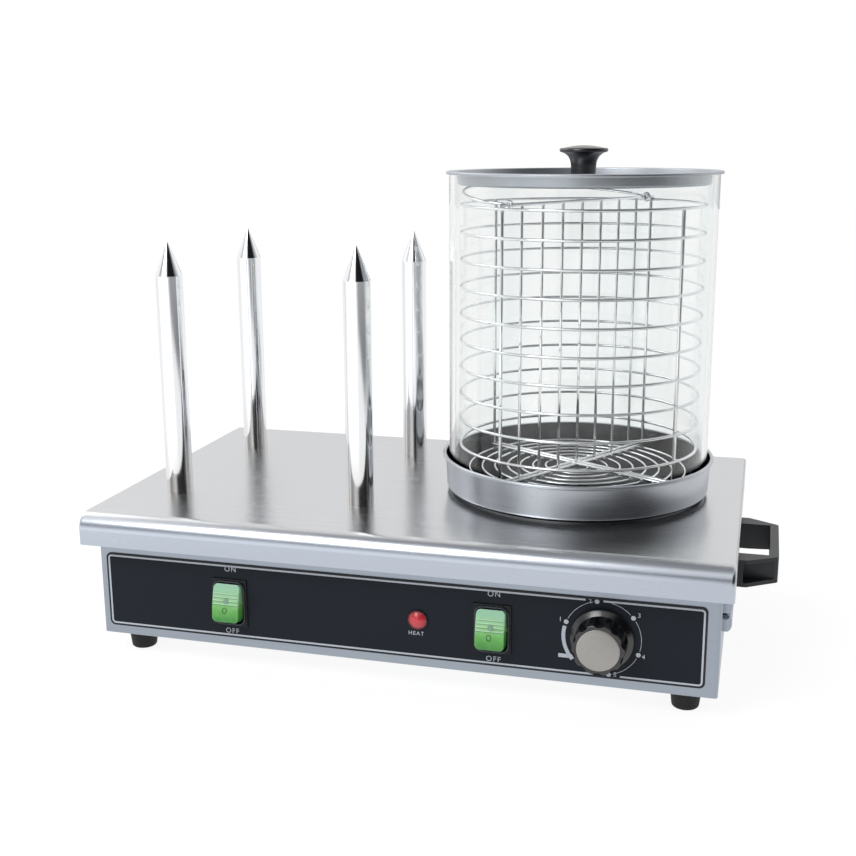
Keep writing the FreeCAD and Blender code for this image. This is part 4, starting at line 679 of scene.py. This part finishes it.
def collar_lip(side, x):
    """Rounded lip round the window of one housing, coloured paler as a painted highlight."""
    lip = start_piece(bpy.ops.mesh.primitive_plane_add, scale=(0.0247, 0.0335, 1), size=1,
                      location=(x, COLLAR_Y, ROCKER_Z), rotation=FACING_FRONT)
    bpy.ops.mesh.bevel(offset=COLLAR_CORNER, segments=10, affect="VERTICES")
    take_all()
    bpy.ops.mesh.inset(thickness=0.0008)
    bpy.ops.mesh.delete(type="FACE")
    take_all()
    bpy.ops.mesh.extrude_region_move(TRANSFORM_OT_translate={"value": (0, -0.0005, 0)})
    pick(lambda face, at: at.y < COLLAR_Y - 0.00035)
    bpy.ops.mesh.bevel(offset=0.00025, segments=3, affect="EDGES")
    face_outwards()
    settle(smoothed(lip, 40), "collar_lip_" + side, lip_highlight_grey, "base")


dress(switch_black, "switch_housing_left", "switch_housing_right", "lamp_holder", "cable_gland")
dress(make_green_rocker(), "rocker_left", "rocker_right")
for side, x in (("left", -0.1229), ("right", 0.0746)):
    rocker_marks(side, x)
    collar_lip(side, x)


# --- signal lamp -----------------------------------------------------------------------------------
# A domed lens of clear red plastic, pushed into a thin black holder. Fine rings inside the
# dome spread the light of the bulb behind it.
def middle_of(name):
    low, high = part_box(name)
    return (low + high) / 2


def place_from(tree, middle, scale=(1, 1, 1)):
    """Place on a piece, measured from a point, each axis drawn out by the scale."""
    shift = [-number * size for number, size in zip(middle, scale)]
    return put(tree, "Mapping", {0: own_place(tree), 1: shift, 3: scale}).outputs[0]


def make_red_lens():
    material, tree, shader = new_finish("red_lens")
    reach = length_of(tree, place_from(tree, middle_of("lamp_lens"), (1, 0, 1)))
    rings = reckon(tree, "SINE", times(tree, reach, 9000.0))
    # The red darkens towards the rim of the dome, as painted shade.
    rim_shade = spread(tree, reach, 0, 1, 0.002, 0.0066)
    feed(tree, shader, {
        "Base Color": mixed(tree, rim_shade, tint(226, 62, 70), tint(190, 40, 54)),
        "Roughness": spread(tree, rings, 0.2, 0.3, -1, 1), "Normal": relief(tree, 0.15, rings),
        "Coat Weight": 0.6, "Coat Roughness": 0.12, "Subsurface Weight": 0.2, "Subsurface Scale": 0.002})
    return material


dress(make_red_lens(), "lamp_lens")


# --- thermostat knob -------------------------------------------------------------------------------
# A moulded knob of glossy black plastic with a round skirt and a scalloped grip. A spun
# metal disc is pressed into its front.
def make_round_grain():
    """Fine rings round the Z axis through the middle of Place, as a lathe leaves them."""
    group, given, result = effect(
        "round_grain", {"Place": None, "Lines": 900.0, "Depth": 0.2},
        {"Streaks": "Float", "Normal": "Vector"})
    spot = axes_of(group, given["Place"])
    flat = vector_of(group, spot[0], spot[1])
    way = axes_of(group, put(group, "VectorMath", {0: flat}, operation="NORMALIZE").outputs[0])
    line = times(group, reckon(group, "ADD", length_of(group, flat), spot[2]), given["Lines"])
    turn = vector_of(group, line, times(group, way[0], 1.3), times(group, way[1], 1.3))
    broad = noise(group, turn, 1.0, 5.0, Roughness=0.7)
    feed(group, result, {"Streaks": spread(group, broad, 0, 1, 0.3, 0.7),
                         "Normal": relief(group, given["Depth"], broad)})
    return group


round_grain = make_round_grain()


def make_cap_metal():
    """Grain round the middle of the disc, which faces the front."""
    material, tree, shader = new_finish("spun_cap")
    spot = axes_of(tree, place_from(tree, middle_of("knob_cap")))
    grain = placed(tree, round_grain, Place=vector_of(tree, spot[0], spot[2]), Lines=1400.0, Depth=0.06)
    steel_finish(tree, shader, grain, tint(166, 164, 160), tint(178, 176, 172), 0.42, 0.48, 0.0004)
    return material


def copied(piece, shift=(0, 0, 0), turn=0.0):
    """A copy with its own mesh, moved, then turned round the upright axis."""
    choose(piece)
    bpy.ops.object.duplicate(linked=False)
    copy = bpy.context.object
    copy.data.transform(Matrix.Rotation(turn, 4, "Z") @ Matrix.Translation(Vector(shift)))
    return copy


SCALLOPS = 10
SCALLOP_RADIUS = 0.005
SCALLOP_CIRCLE = 0.0210             # middles of the scallops, from the knob's axis
SCALLOP_TURN = math.radians(18)
KNOB_CREASE = 28


def scalloped_knob():
    """Skirt, grip and boss turned in one, then ten scallops cut down the grip."""
    outline = [(3.1, 146.7), (3.1, 134.0), (5.5, 134.0), (5.5, 146.7), (13.6, 146.7), (13.6, 134.0),
               (21.4, 134.0), (21.6, 134.2), (21.6, 134.5), (21.3, 134.8), (18.2, 137.2), (17.8, 151.6)]
    outline += bend(16.9, 151.8, 0.9, 0, 90, 6) + [(14.7, 152.7), (14.7, 151.2)]
    knob = turned_piece(outline, 160, KNOB_CREASE)
    cutter = start_piece(bpy.ops.mesh.primitive_cylinder_add, vertices=48, radius=SCALLOP_RADIUS, depth=0.020,
                         location=(SCALLOP_CIRCLE, 0, 0.1472))
    step = 2 * math.pi / SCALLOPS
    cutter = join_copies([cutter] + [copied(cutter, turn=step * number) for number in range(1, SCALLOPS)])
    cutter.data.transform(Matrix.Rotation(SCALLOP_TURN, 4, "Z"))
    choose(knob)
    scallops = knob.modifiers.new("scallops", "BOOLEAN")
    scallops.object = cutter
    bpy.ops.object.modifier_apply(modifier="scallops")
    bpy.data.objects.remove(cutter)
    return smoothed(knob, KNOB_CREASE)


on_the_dial = Matrix.Translation((DIAL_X, 0, DIAL_Z)) @ Matrix.Rotation(math.pi / 2, 4, "X")
knob_plastic = moulded("knob_plastic", tint(10, 11, 14), tint(17, 18, 22), tint(60, 66, 76), (0.18, 0.26),
                       1200.0, 0.04, 0.9)
knob = scalloped_knob()
knob.data.transform(on_the_dial)
settle(knob, "scalloped_knob", knob_plastic, "dial")
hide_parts("thermostat_knob")
cap_outline = [(14.4, 151.2), (14.6, 151.4), (14.6, 152.6)] + bend(14.2, 152.7, 0.4, 0, 70, 4)
cap_outline += [(radius, 154.5 - radius * radius / 142) for radius in (13, 11.5, 10, 8, 6, 4, 2, 0.4)]
cap = turned_piece(cap_outline, 96, 40)
cap.data.transform(on_the_dial)
settle(cap, "spun_front_cap", make_cap_metal(), "dial")
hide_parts("knob_cap")


# --- thermostat bulb -------------------------------------------------------------------------------
# A drawn copper tube, sealed at both ends, that lies under the hot plate. It is dulled by
# the heat of the plate above it.
def make_copper():
    material, tree, shader = new_finish("dulled_copper")
    drawn = noise(tree, place_from(tree, (0, 0, 0), (20, 400, 400)), 1.0, 4.0)
    stain = spread(tree, noise(tree, own_place(tree), 60.0, 3.0), 0, 1, 0.4, 0.6)
    feed(tree, shader, {"Base Color": mixed(tree, stain, tint(206, 138, 104), tint(150, 92, 78)),
                        "Roughness": spread(tree, drawn, 0.25, 0.45), "Metallic": 1.0})
    return material


dress(make_copper(), "thermostat_bulb")


# --- spikes ----------------------------------------------------------------------------------------
# Four polished stainless tubes with turned cone tips, each on a stud through the plate. The
# turning marks show faintly round them, and heat has given the metal above the foot a straw cast.
def make_spike_steel():
    material, tree, shader = new_finish("polished_spikes")
    level = axes_of(tree, own_place(tree))[2]
    rings = noise(tree, place_from(tree, (0, 0, 0), (3, 3, 1500)), 1.0, 3.0)
    heat = times(tree, spread(tree, level, 0.5, 0, 0.118, 0.165), spread(tree, rings, 0.6, 1))
    steel = mixed(tree, rings, tint(238, 240, 243), tint(246, 247, 249))
    wiped = times(tree, marks_on(tree, 26.0), 0.06)
    feed(tree, shader, {
        "Base Color": mixed(tree, heat, steel, tint(222, 214, 198)),
        "Roughness": reckon(tree, "ADD", spread(tree, rings, 0.06, 0.12), wiped),
        "Normal": relief(tree, 0.04, rings), "Metallic": 1.0})
    return material


SPIKE_PITCH = 0.150
FRONT_LEFT_SPIKE = (-0.192, -0.067)
spike_steel = make_spike_steel()
spike = turned_piece([(0.05, 278.3), (8.8, 269.5), (8.8, 118.0), (3.0, 118.0), (3.0, 100.0), (5.6, 100.0),
                      (6.0, 100.4), (6.0, 114.0), (10.3, 114.0), (10.3, 283.0), (0.8, 307.5),
                      (0.72, 307.75), (0.6, 308.0), (0.4, 308.3), (0.12, 308.48)],
                     128, 14, middle=FRONT_LEFT_SPIKE)
spikes = {"front_left": spike, "front_right": copied(spike, (SPIKE_PITCH, 0, 0)),
          "back_left": copied(spike, (0, SPIKE_PITCH, 0)),
          "back_right": copied(spike, (SPIKE_PITCH, SPIKE_PITCH, 0))}
for corner, piece in spikes.items():
    settle(piece, "polished_spike_" + corner, spike_steel, "base")
    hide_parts("spike_" + corner)


# --- heaters ---------------------------------------------------------------------------------------
# Cartridge heaters inside the spikes and a ring heater under the hot plate. Their steel
# sheaths have gone dark and patchy with heat.
def make_heater_metal():
    material, tree, shader = new_finish("heat_dulled_steel")
    stain = noise(tree, own_place(tree), 45.0, 5.0, Distortion=0.8)
    stained = spread(tree, stain, 0, 1, 0.38, 0.62)
    feed(tree, shader, {"Base Color": mixed(tree, stained, tint(112, 108, 106), tint(142, 124, 104)),
                        "Roughness": spread(tree, marks_on(tree, 80.0), 0.4, 0.6), "Metallic": 1.0})
    return material


dress(make_heater_metal(), "spike_heaters", "heater_band")


# --- hot plate and water pan -----------------------------------------------------------------------
# A turned steel plate let into the top heats the water pan that stands on it. The pan is spun
# from sheet with a rolled rim; its inside is painted near black and mottled as shade, outside it keeps its
# grain.
STEAMER = middle_of("water_pan")
STEAMER.z = 0.0
STEAMER_AXIS = (STEAMER.x, STEAMER.y)
PAN_FLOOR = 0.1165                  # between the two faces of its floor


def turned_finish(name, shade, light, smooth, rough, lines, depth, edge=0.0006):
    """Bare metal turned or spun round the steamer's upright axis."""
    material, tree, shader = new_finish(name)
    grain = placed(tree, round_grain, Place=place_from(tree, STEAMER), Lines=lines, Depth=depth)
    steel_finish(tree, shader, grain, shade, light, smooth, rough, edge)
    return material, tree, shader


def make_pan_steel():
    material, tree, shader = turned_finish("spun_pan", tint(182, 186, 192), tint(194, 198, 204), 0.26, 0.32,
                                           2600.0, 0.06)
    spot = axes_of(tree, place_from(tree, STEAMER))
    reach = length_of(tree, vector_of(tree, spot[0], spot[1]))
    # Inner faces of the pan are painted near black, painted shade inside the covered pan.
    wall = spread(tree, spot[2], 0.1012, 0.1022, 0.116, 0.144)
    above = reckon(tree, "GREATER_THAN", spot[2], PAN_FLOOR)
    within = times(tree, reckon(tree, "LESS_THAN", reach, wall), above)
    scale = spread(tree, noise(tree, own_place(tree), 38.0, 5.0), 0.86, 1, 0.35, 0.6)
    overlay(tree, shader, times(tree, within, scale), tint(22, 27, 32))
    return material


dress(turned_finish("turned_hot_plate", tint(150, 150, 152), tint(190, 190, 190), 0.3, 0.42, 700.0, 0.3)[0],
      "hot_plate")
pan_outline = bend(97.6, 120.0, 4.0, -90, 0) + [(101.64, 120.8), (102.57, 140.4), (102.6, 140.9)]
pan_outline += bend(103.4, 142.5, 1.5, -110, 180, 20) + [(101.8, 141.8), (101.76, 141.0), (100.84, 120.8)]
pan_outline += bend(97.6, 120.0, 3.2, 0, -90) + [(96.8, 116.8)]
pan = turned_piece(pan_outline, 160, 32, middle=STEAMER_AXIS)
settle(pan, "spun_water_pan", make_pan_steel(), "pan")
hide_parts("water_pan")


# --- glass cylinder --------------------------------------------------------------------------------
# A clear tube of drawn glass with ground ends, that stands in the pan. Thin wiping marks take a little of its
# clearness, and faint upright bands in its tint are a painted reflection.
def make_glass():
    material, tree, shader = new_finish("steamer_glass")
    wipes = noise(tree, place_from(tree, (0, 0, 0), (60, 60, 9)), 1.0, 4.0, Distortion=0.5)
    # Upright bands in the glass's tint are a painted reflection.
    painted_reflection_bands = noise(tree, place_from(tree, (0, 0, 0), (22, 22, 0.4)), 1.0, 1.0)
    feed(tree, shader, {
        "Base Color": mixed(tree, spread(tree, painted_reflection_bands, 0, 1, 0.46, 0.52), (0.895, 0.92, 0.92, 1),
                            (0.95, 0.962, 0.956, 1)),
        "Roughness": times(tree, spread(tree, wipes, 0, 1, 0.5, 0.8), 0.03),
        "Transmission Weight": 1.0, "IOR": 1.45})
    return material


tube_outline = bend(98.5, 118.9, 1.5, -90, 0) + [(100.0, height) for height in (119.2, 130.0, 340.0, 356.6)]
tube_outline += bend(98.5, 356.9, 1.5, 0, 90) + bend(97.5, 356.9, 1.5, 90, 180)
tube_outline += [(96.0, height) for height in (356.6, 340.0, 130.0, 119.2)] + bend(97.5, 118.9, 1.5, 180, 270)
tube = turned_piece(tube_outline + tube_outline[:1], 192, 32, False, STEAMER_AXIS)
settle(tube, "glass_tube", make_glass(), "glass")
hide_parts("glass_cylinder")


# --- wire basket -----------------------------------------------------------------------------------
# Ten hoops of round stainless wire, welded to four posts. A rod across the top hoop carries
# the upright divider wires, and crossed double bars lie on the rings of the floor. All of it
# is polished.
def make_wire_steel():
    material, tree, shader = new_finish("polished_wire")
    waves = noise(tree, own_place(tree), 700.0, 2.0)
    tarnish = noise(tree, own_place(tree), 30.0, 4.0)
    dulled = spread(tree, tarnish, 0, 1, 0.4, 0.7)
    feed(tree, shader, {"Base Color": mixed(tree, dulled, tint(246, 247, 249), tint(230, 231, 233)),
                        "Roughness": spread(tree, tarnish, 0.06, 0.14, 0.35, 0.7),
                        "Normal": relief(tree, 0.05, waves), "Metallic": 1.0})
    return material


wire_steel = make_wire_steel()
WIRE = 0.0011                       # radius of the hoops, rings and divider wires
POST_WIRE = 0.0013
BAR_WIRE = 0.0015
ROD_WIRE = 0.0012
HOOP_RADIUS = 0.091
HOOP_COUNT = 10
TOP_HOOP_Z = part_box("basket_hoops")[1].z - WIRE
LOW_HOOP_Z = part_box("basket_hoops")[0].z + WIRE
HOOP_PITCH = (TOP_HOOP_Z - LOW_HOOP_Z) / (HOOP_COUNT - 1)
POST_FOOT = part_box("basket_posts")[0].z
POST_CIRCLE = HOOP_RADIUS - WIRE - POST_WIRE
DIVIDER_PITCH = 2 * HOOP_RADIUS / 8
GRID_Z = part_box("basket_floor")[0].z + WIRE
BAR_Z = GRID_Z + WIRE + BAR_WIRE
BAR_SIDE = POST_WIRE + BAR_WIRE     # a double bar's two wires pass either side of a post
ROD_Z = TOP_HOOP_Z + WIRE + ROD_WIRE
RING_COUNT = 8
OUTER_RING, RING_PITCH = 0.084, 0.010
MERGE = 0.00001
basket_place = Matrix.Translation(STEAMER) @ Matrix.Rotation(math.radians(60), 4, "Z")


def bent_ring(radius, height, steps):
    """A hoop on the basket's axis: a round section spun once round, thicker at its butt weld."""
    ring = start_piece(bpy.ops.mesh.primitive_circle_add, vertices=10, radius=WIRE,
                       location=(radius, 0, height), rotation=FACING_FRONT)
    bpy.ops.mesh.spin(steps=steps, angle=2 * math.pi, center=(0, 0, height), axis=(0, 0, 1))
    face_outwards(MERGE)
    pick(lambda vert, at: at.x > 0 and abs(at.y) < radius * math.pi / steps, "verts")
    bpy.ops.transform.shrink_fatten(value=0.0002)
    bpy.ops.object.mode_set(mode="OBJECT")
    bpy.ops.object.shade_smooth()
    return ring


def weld_bead(place, size):
    """A small flattened bead of weld."""
    deselect_all()
    bpy.ops.mesh.primitive_ico_sphere_add(subdivisions=2, radius=size, location=place)
    bead = bpy.context.object
    bpy.ops.object.mode_set(mode="EDIT")
    take_all()
    bpy.ops.transform.resize(value=(1.0, 1.0, 0.7), center_override=place)
    bpy.ops.transform.vertex_random(offset=size * 0.12, seed=3)
    bpy.ops.object.mode_set(mode="OBJECT")
    apply_place()
    bpy.ops.object.shade_smooth()
    return bead


def finish_wire(pieces, name, body, node):
    """Joins the pieces of one node, turns them with the basket and puts them in its place."""
    whole = join_copies(pieces) if len(pieces) > 1 else pieces[0]
    whole.matrix_world = basket_place
    settle(whole, name, wire_steel, body)
    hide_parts(node)


def quarter_turns(piece):
    return [copied(piece, turn=turn * math.pi / 2) for turn in (1, 2, 3)]


def in_row(piece, shift, count):
    """The piece's copies, each one shift further than the last."""
    return [copied(piece, shift=Vector(shift) * number) for number in range(1, count)]


hoop = bent_ring(HOOP_RADIUS, TOP_HOOP_Z, 96)
bead = weld_bead((HOOP_RADIUS - WIRE, 0.0, TOP_HOOP_Z - 0.0002), 0.0011)
beads = [bead] + quarter_turns(bead)
hoops = [hoop] + in_row(hoop, (0, 0, -HOOP_PITCH), HOOP_COUNT)
beads += [lower for bead in list(beads) for lower in in_row(bead, (0, 0, -HOOP_PITCH), HOOP_COUNT)]
finish_wire(hoops + beads, "hoops_of_wire", "basket", "basket_hoops")

post = straight_rod((POST_CIRCLE, 0, POST_FOOT), (POST_CIRCLE, 0, TOP_HOOP_Z + WIRE), POST_WIRE, 12)
finish_wire([post] + quarter_turns(post), "posts_of_wire", "basket", "basket_posts")

rod = straight_rod((-HOOP_RADIUS - WIRE, 0, ROD_Z), (HOOP_RADIUS + WIRE, 0, ROD_Z), ROD_WIRE, 12)
upright = straight_rod((-3 * DIVIDER_PITCH, 0, GRID_Z - WIRE), (-3 * DIVIDER_PITCH, 0, ROD_Z), WIRE)
finish_wire([rod, upright] + in_row(upright, (DIVIDER_PITCH, 0, 0), 7), "divider_of_wire", "basket",
            "basket_divider")

rings = [bent_ring(OUTER_RING - RING_PITCH * number, GRID_Z, 84 - 8 * number) for number in range(RING_COUNT)]
bar = straight_rod((-POST_CIRCLE, BAR_SIDE, BAR_Z), (POST_CIRCLE, BAR_SIDE, BAR_Z), BAR_WIRE, 12)
bead = weld_bead((OUTER_RING, BAR_SIDE, GRID_Z + WIRE), 0.0010)
beads = [bead] + in_row(bead, (-RING_PITCH, 0, 0), RING_COUNT)
beads += [turned for bead in list(beads) for turned in quarter_turns(bead)]
finish_wire(rings + [bar] + quarter_turns(bar) + beads, "floor_of_wire", "basket", "basket_floor")


# --- basket bail -----------------------------------------------------------------------------------
# The half-round carrying bail is bent from one wire. Its ends are turned into eyes round the
# divider's rod, and it lies folded to the back on the top hoop.
BAIL_RADIUS = 0.090
BAIL_TILT = math.radians(6.6)
BAIL_LEG = math.radians(12)         # where the half round ends and its straight legs begin
EYE_X = 0.082
EYE_RADIUS = ROD_WIRE + 0.0003 + ROD_WIRE


def bail_wire():
    """Arc, two legs to the eyes, and the eyes, in the bail's own plane."""
    x, y = BAIL_RADIUS * math.cos(BAIL_LEG), BAIL_RADIUS * math.sin(BAIL_LEG)
    pieces = [start_piece(bpy.ops.mesh.primitive_circle_add, vertices=12, radius=ROD_WIRE,
                          location=(x, y, 0), rotation=(math.pi / 2, 0, BAIL_LEG))]
    bpy.ops.mesh.spin(steps=64, angle=math.pi - 2 * BAIL_LEG, center=(0, 0, 0), axis=(0, 0, -1))
    face_outwards()
    for side in (-1, 1):
        pieces.append(straight_rod((side * EYE_X, EYE_RADIUS, 0), (side * x, y, 0), ROD_WIRE, 12))
        pieces.append(start_piece(bpy.ops.mesh.primitive_uv_sphere_add, segments=12, ring_count=8,
                                  radius=ROD_WIRE * 1.02, location=(side * x, y, 0)))
        pieces.append(start_piece(bpy.ops.mesh.primitive_circle_add, vertices=10, radius=ROD_WIRE,
                                  location=(side * EYE_X, EYE_RADIUS, 0)))
        bpy.ops.mesh.spin(steps=24, angle=2 * math.pi, center=(side * EYE_X, 0, 0), axis=(1, 0, 0))
        face_outwards(MERGE)
    return pieces


bail = join_copies(bail_wire())
bpy.ops.object.shade_smooth()
bail.data.transform(Matrix.Translation((0, 0, ROD_Z)) @ Matrix.Rotation(BAIL_TILT, 4, "X"))
finish_wire([bail], "bail_of_wire", "bail", "basket_bail")


# --- lid -------------------------------------------------------------------------------------------
# Spun from sheet: a flange lies on the glass and a dish drops inside it. A mushroom knob of
# black plastic is screwed on from below.
lid_outline = [(2.3, 349.4), (91.4, 349.4)] + bend(91.8, 351.4, 2.0, -90, 0) + [(93.82, 351.8), (94.4, 357.4)]
lid_outline += bend(95.0, 357.8, 0.6, 180, 90, 4)
lid_outline += [(95.4, 358.4), (101.6, 358.4), (101.6, 357.3), (102.3, 357.2), (102.4, 357.4)]
lid_outline += bend(101.6, 358.4, 0.8, 0, 90) + [(101.3, 359.2), (94.9, 359.2)]
lid_outline += bend(94.6, 358.6, 0.6, 90, 170, 5) + [(93.9, 358.2), (93.1, 352.2)]
lid_outline += bend(91.8, 351.4, 1.2, 0, -90) + [(91.4, 350.2), (2.3, 350.2), (2.3, 349.4)]
lid = turned_piece(lid_outline, 192, 32, False, STEAMER_AXIS)
lid_steel = turned_finish("spun_lid", tint(178, 183, 190), tint(194, 198, 204), 0.38, 0.46,
                          800.0, 0.1, 0.0004)[0]
settle(lid, "spun_lid", lid_steel, "lid")
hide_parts("lid_dish")
knob_outline = [(2.1, 362.2), (2.1, 350.2), (9.2, 350.2), (9.4, 350.4), (9.3, 357.0), (9.4, 363.0)]
knob_outline += [(9.7, 365.4), (10.3, 367.4), (11.3, 369.2), (12.6, 370.6), (14.3, 371.8), (16.2, 372.6)]
knob_outline += bend(16.4, 374.2, 1.6, -75, 60, 9)
knob_outline += [(radius, 377.6 - radius * radius / 118) for radius in (15.6, 14, 12, 10, 8, 6, 4, 2, 0.4)]
knob = turned_piece(knob_outline, 128, 32, middle=STEAMER_AXIS)
settle(knob, "mushroom_knob", knob_plastic, "lid")
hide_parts("lid_knob")


# --- handles ---------------------------------------------------------------------------------------
# Moulded from charcoal plastic with a pocket in each arm, and fixed from inside the base with
# two screws each. The mould has left a fine grain, and the edges are paler, partly rubbed and partly a
# painted highlight.
handle_plastic = moulded("handle_plastic", tint(30, 32, 36), tint(42, 45, 50), tint(84, 90, 98), (0.36, 0.5),
                         1100.0, 0.25)
dress(handle_plastic, "handle_left", "handle_right")


# --- terminal block --------------------------------------------------------------------------------
# Unglazed ceramic block on the lip of the back sheet, for the supply cord and the wiring.
# It is pressed and fired, with a dry grain and paler edges.
ceramic = moulded("unglazed_ceramic", tint(222, 216, 202), tint(236, 232, 222), tint(244, 242, 236),
                  (0.6, 0.8), 500.0, 0.3)
dress(ceramic, "terminal_block")


# --- studio ----------------------------------------------------------------------------------------
# A pale floor, a white surround, two soft lamps and the camera. Mirrored in polished metal, the
# surround has a grey ceiling and a dark opening to the right above the camera, as a studio has.
WHITE = (1, 1, 1, 1)
PAINTED_LAMP_POOL = (1.6, 1.62, 1.66, 1)    # a painted pool of light on the floor under the key lamp, seen in reflections
DIM_ROOM = tint(78, 80, 84)
GREY_CEILING = tint(150, 152, 156)
DARK_OPENING = tint(22, 24, 27)


def between(tree, value, *degrees):
    """Rises from the first angle to the second and falls from the third to the fourth."""
    first, second, third, fourth = [math.radians(angle) for angle in degrees]
    return times(tree, spread(tree, value, 0, 1, first, second), spread(tree, value, 1, 0, third, fourth))


def bearing(tree, way):
    """Angle round the machine from straight in front of it, to the right."""
    return reckon(tree, "ARCTAN2", way[0], times(tree, way[1], -1.0))


def only_mirrored(tree, ray):
    """One for a ray that metal has mirrored, none for one that came through glass or turned within it."""
    metal = times(tree, ray["Is Glossy Ray"], reckon(tree, "MINIMUM", ray["Glossy Depth"], 1.0))
    within = reckon(tree, "COMPARE", ray["Transmission Depth"], 2.0, 1.5)
    return times(tree, metal, reckon(tree, "SUBTRACT", 1.0, within))


def glow_of(tree, colour, strength):
    return put(tree, "Emission", {"Color": colour, "Strength": strength}).outputs[0]


def blend(tree, amount, first, second):
    """One shader over another, by the amount."""
    return put(tree, "MixShader", {0: amount, 1: first, 2: second}).outputs[0]


def make_floor():
    """Pale, and white to the eye; mirrored, it shows a painted pool of light under the lamp and painted dim
    patches to the right and far off.
    """
    deselect_all()
    bpy.ops.mesh.primitive_plane_add(size=12, location=(0, 0, 0))
    floor = bpy.context.object
    floor.name = "studio_floor"
    material, tree, shader = new_finish("studio_floor")
    feed(tree, shader, {"Base Color": (0.8, 0.8, 0.8, 1), "Roughness": 0.9})
    ray = put(tree, "LightPath").outputs
    turn = bearing(tree, axes_of(tree, own_place(tree)))
    away = length_of(tree, own_place(tree))
    slanted = reckon(tree, "SUBTRACT", turn, spread(tree, away, math.radians(45), 0, 0.8, 1.7))
    ring = times(tree, spread(tree, away, 0, 0.88, 0.65, 1.15), spread(tree, away, 1, 0.78, 1.3, 2.4))
    # In reflections the floor carries painted dim patches, a painted pool of light and a painted dark far
    # side.
    painted_dim_patch = times(tree, between(tree, slanted, 12, 28, 78, 100), ring)
    painted_pool = times(tree, between(tree, turn, -80, -55, 4, 13), spread(tree, away, 0, 1, 0.5, 1.0))
    painted_far_dark = times(tree, between(tree, turn, -2, 0, 76, 86), spread(tree, away, 0, 1, 3.2, 4.0))
    table = mixed(tree, painted_dim_patch, mixed(tree, painted_pool, WHITE, PAINTED_LAMP_POOL), DIM_ROOM)
    mirrored = mixed(tree, painted_far_dark, table, DARK_OPENING)
    clear = reckon(tree, "MAXIMUM", ray["Is Camera Ray"], ray["Is Transmission Ray"])
    seen = blend(tree, times(tree, clear, 0.75), shader.outputs[0], glow_of(tree, WHITE, 1.17))
    both = blend(tree, times(tree, only_mirrored(tree, ray), 0.9), seen, glow_of(tree, mirrored, 1.0))
    feed(tree, tree.nodes["Material Output"], {"Surface": both})
    floor.data.materials.append(material)


def make_surround():
    """White to the eye and through glass; mirrored, dim to the right and overhead."""
    world = bpy.data.worlds.new("studio_surround")
    bpy.context.scene.world = world
    world.use_nodes = True
    tree = world.node_tree
    ray = put(tree, "LightPath").outputs
    way = axes_of(tree, put(tree, "TexCoord").outputs["Generated"])
    level = reckon(tree, "ARCSINE", way[2])
    turn = bearing(tree, way)
    slanted = reckon(tree, "SUBTRACT", turn, times(tree, level, 0.3))
    opening = times(tree, between(tree, slanted, -2, 0, 68, 130), between(tree, level, -90, -89, 46, 56))
    low = times(tree, between(tree, turn, -75, -60, 40, 70), between(tree, level, 9, 14, 22, 31))
    behind = times(tree, spread(tree, reckon(tree, "ABSOLUTE", turn), 0, 0.6, 2.5, 2.8),
                   between(tree, level, -90, -89, 4, 10))
    walls = mixed(tree, reckon(tree, "MAXIMUM", times(tree, low, 0.92), behind), WHITE, DIM_ROOM)
    overhead = spread(tree, level, 0, 1, math.radians(58), math.radians(70))
    mirrored = mixed(tree, opening, mixed(tree, overhead, walls, GREY_CEILING), DARK_OPENING)
    straight = reckon(tree, "MAXIMUM", ray["Is Glossy Ray"], ray["Is Transmission Ray"])
    seen = reckon(tree, "MAXIMUM", ray["Is Camera Ray"], straight)
    feed(tree, tree.nodes["Background"], {
        "Color": mixed(tree, only_mirrored(tree, ray), WHITE, mirrored),
        "Strength": spread(tree, seen, 0.6, 1.0)})


def soft_lamp(name, place, target, size, power):
    deselect_all()
    bpy.ops.object.light_add(type="AREA", location=place)
    lamp = bpy.context.object
    lamp.name = name
    lamp.data.size = size
    lamp.data.energy = power
    lamp.rotation_euler = (Vector(target) - Vector(place)).to_track_quat("-Z", "Y").to_euler()


make_floor()
make_surround()
soft_lamp("key_lamp", (-0.57, -1.16, 1.35), (0.1, 0, 0.1), 0.75, 9.0)
soft_lamp("fill_lamp", (-1.3, 0.3, 1.2), (0, 0, 0.1), 0.8, 4.0)

bpy.ops.object.camera_add(location=(0.24334, -0.90578, 0.38253),
                          rotation=[math.radians(angle) for angle in (76.6502, 0.28075, 15.40235)])
camera = bpy.context.object
camera.name = "studio_camera"
camera.data.lens = 51.195
camera.data.sensor_width = 36
bpy.context.scene.camera = camera
bpy.context.scene.view_settings.view_transform = "Standard"
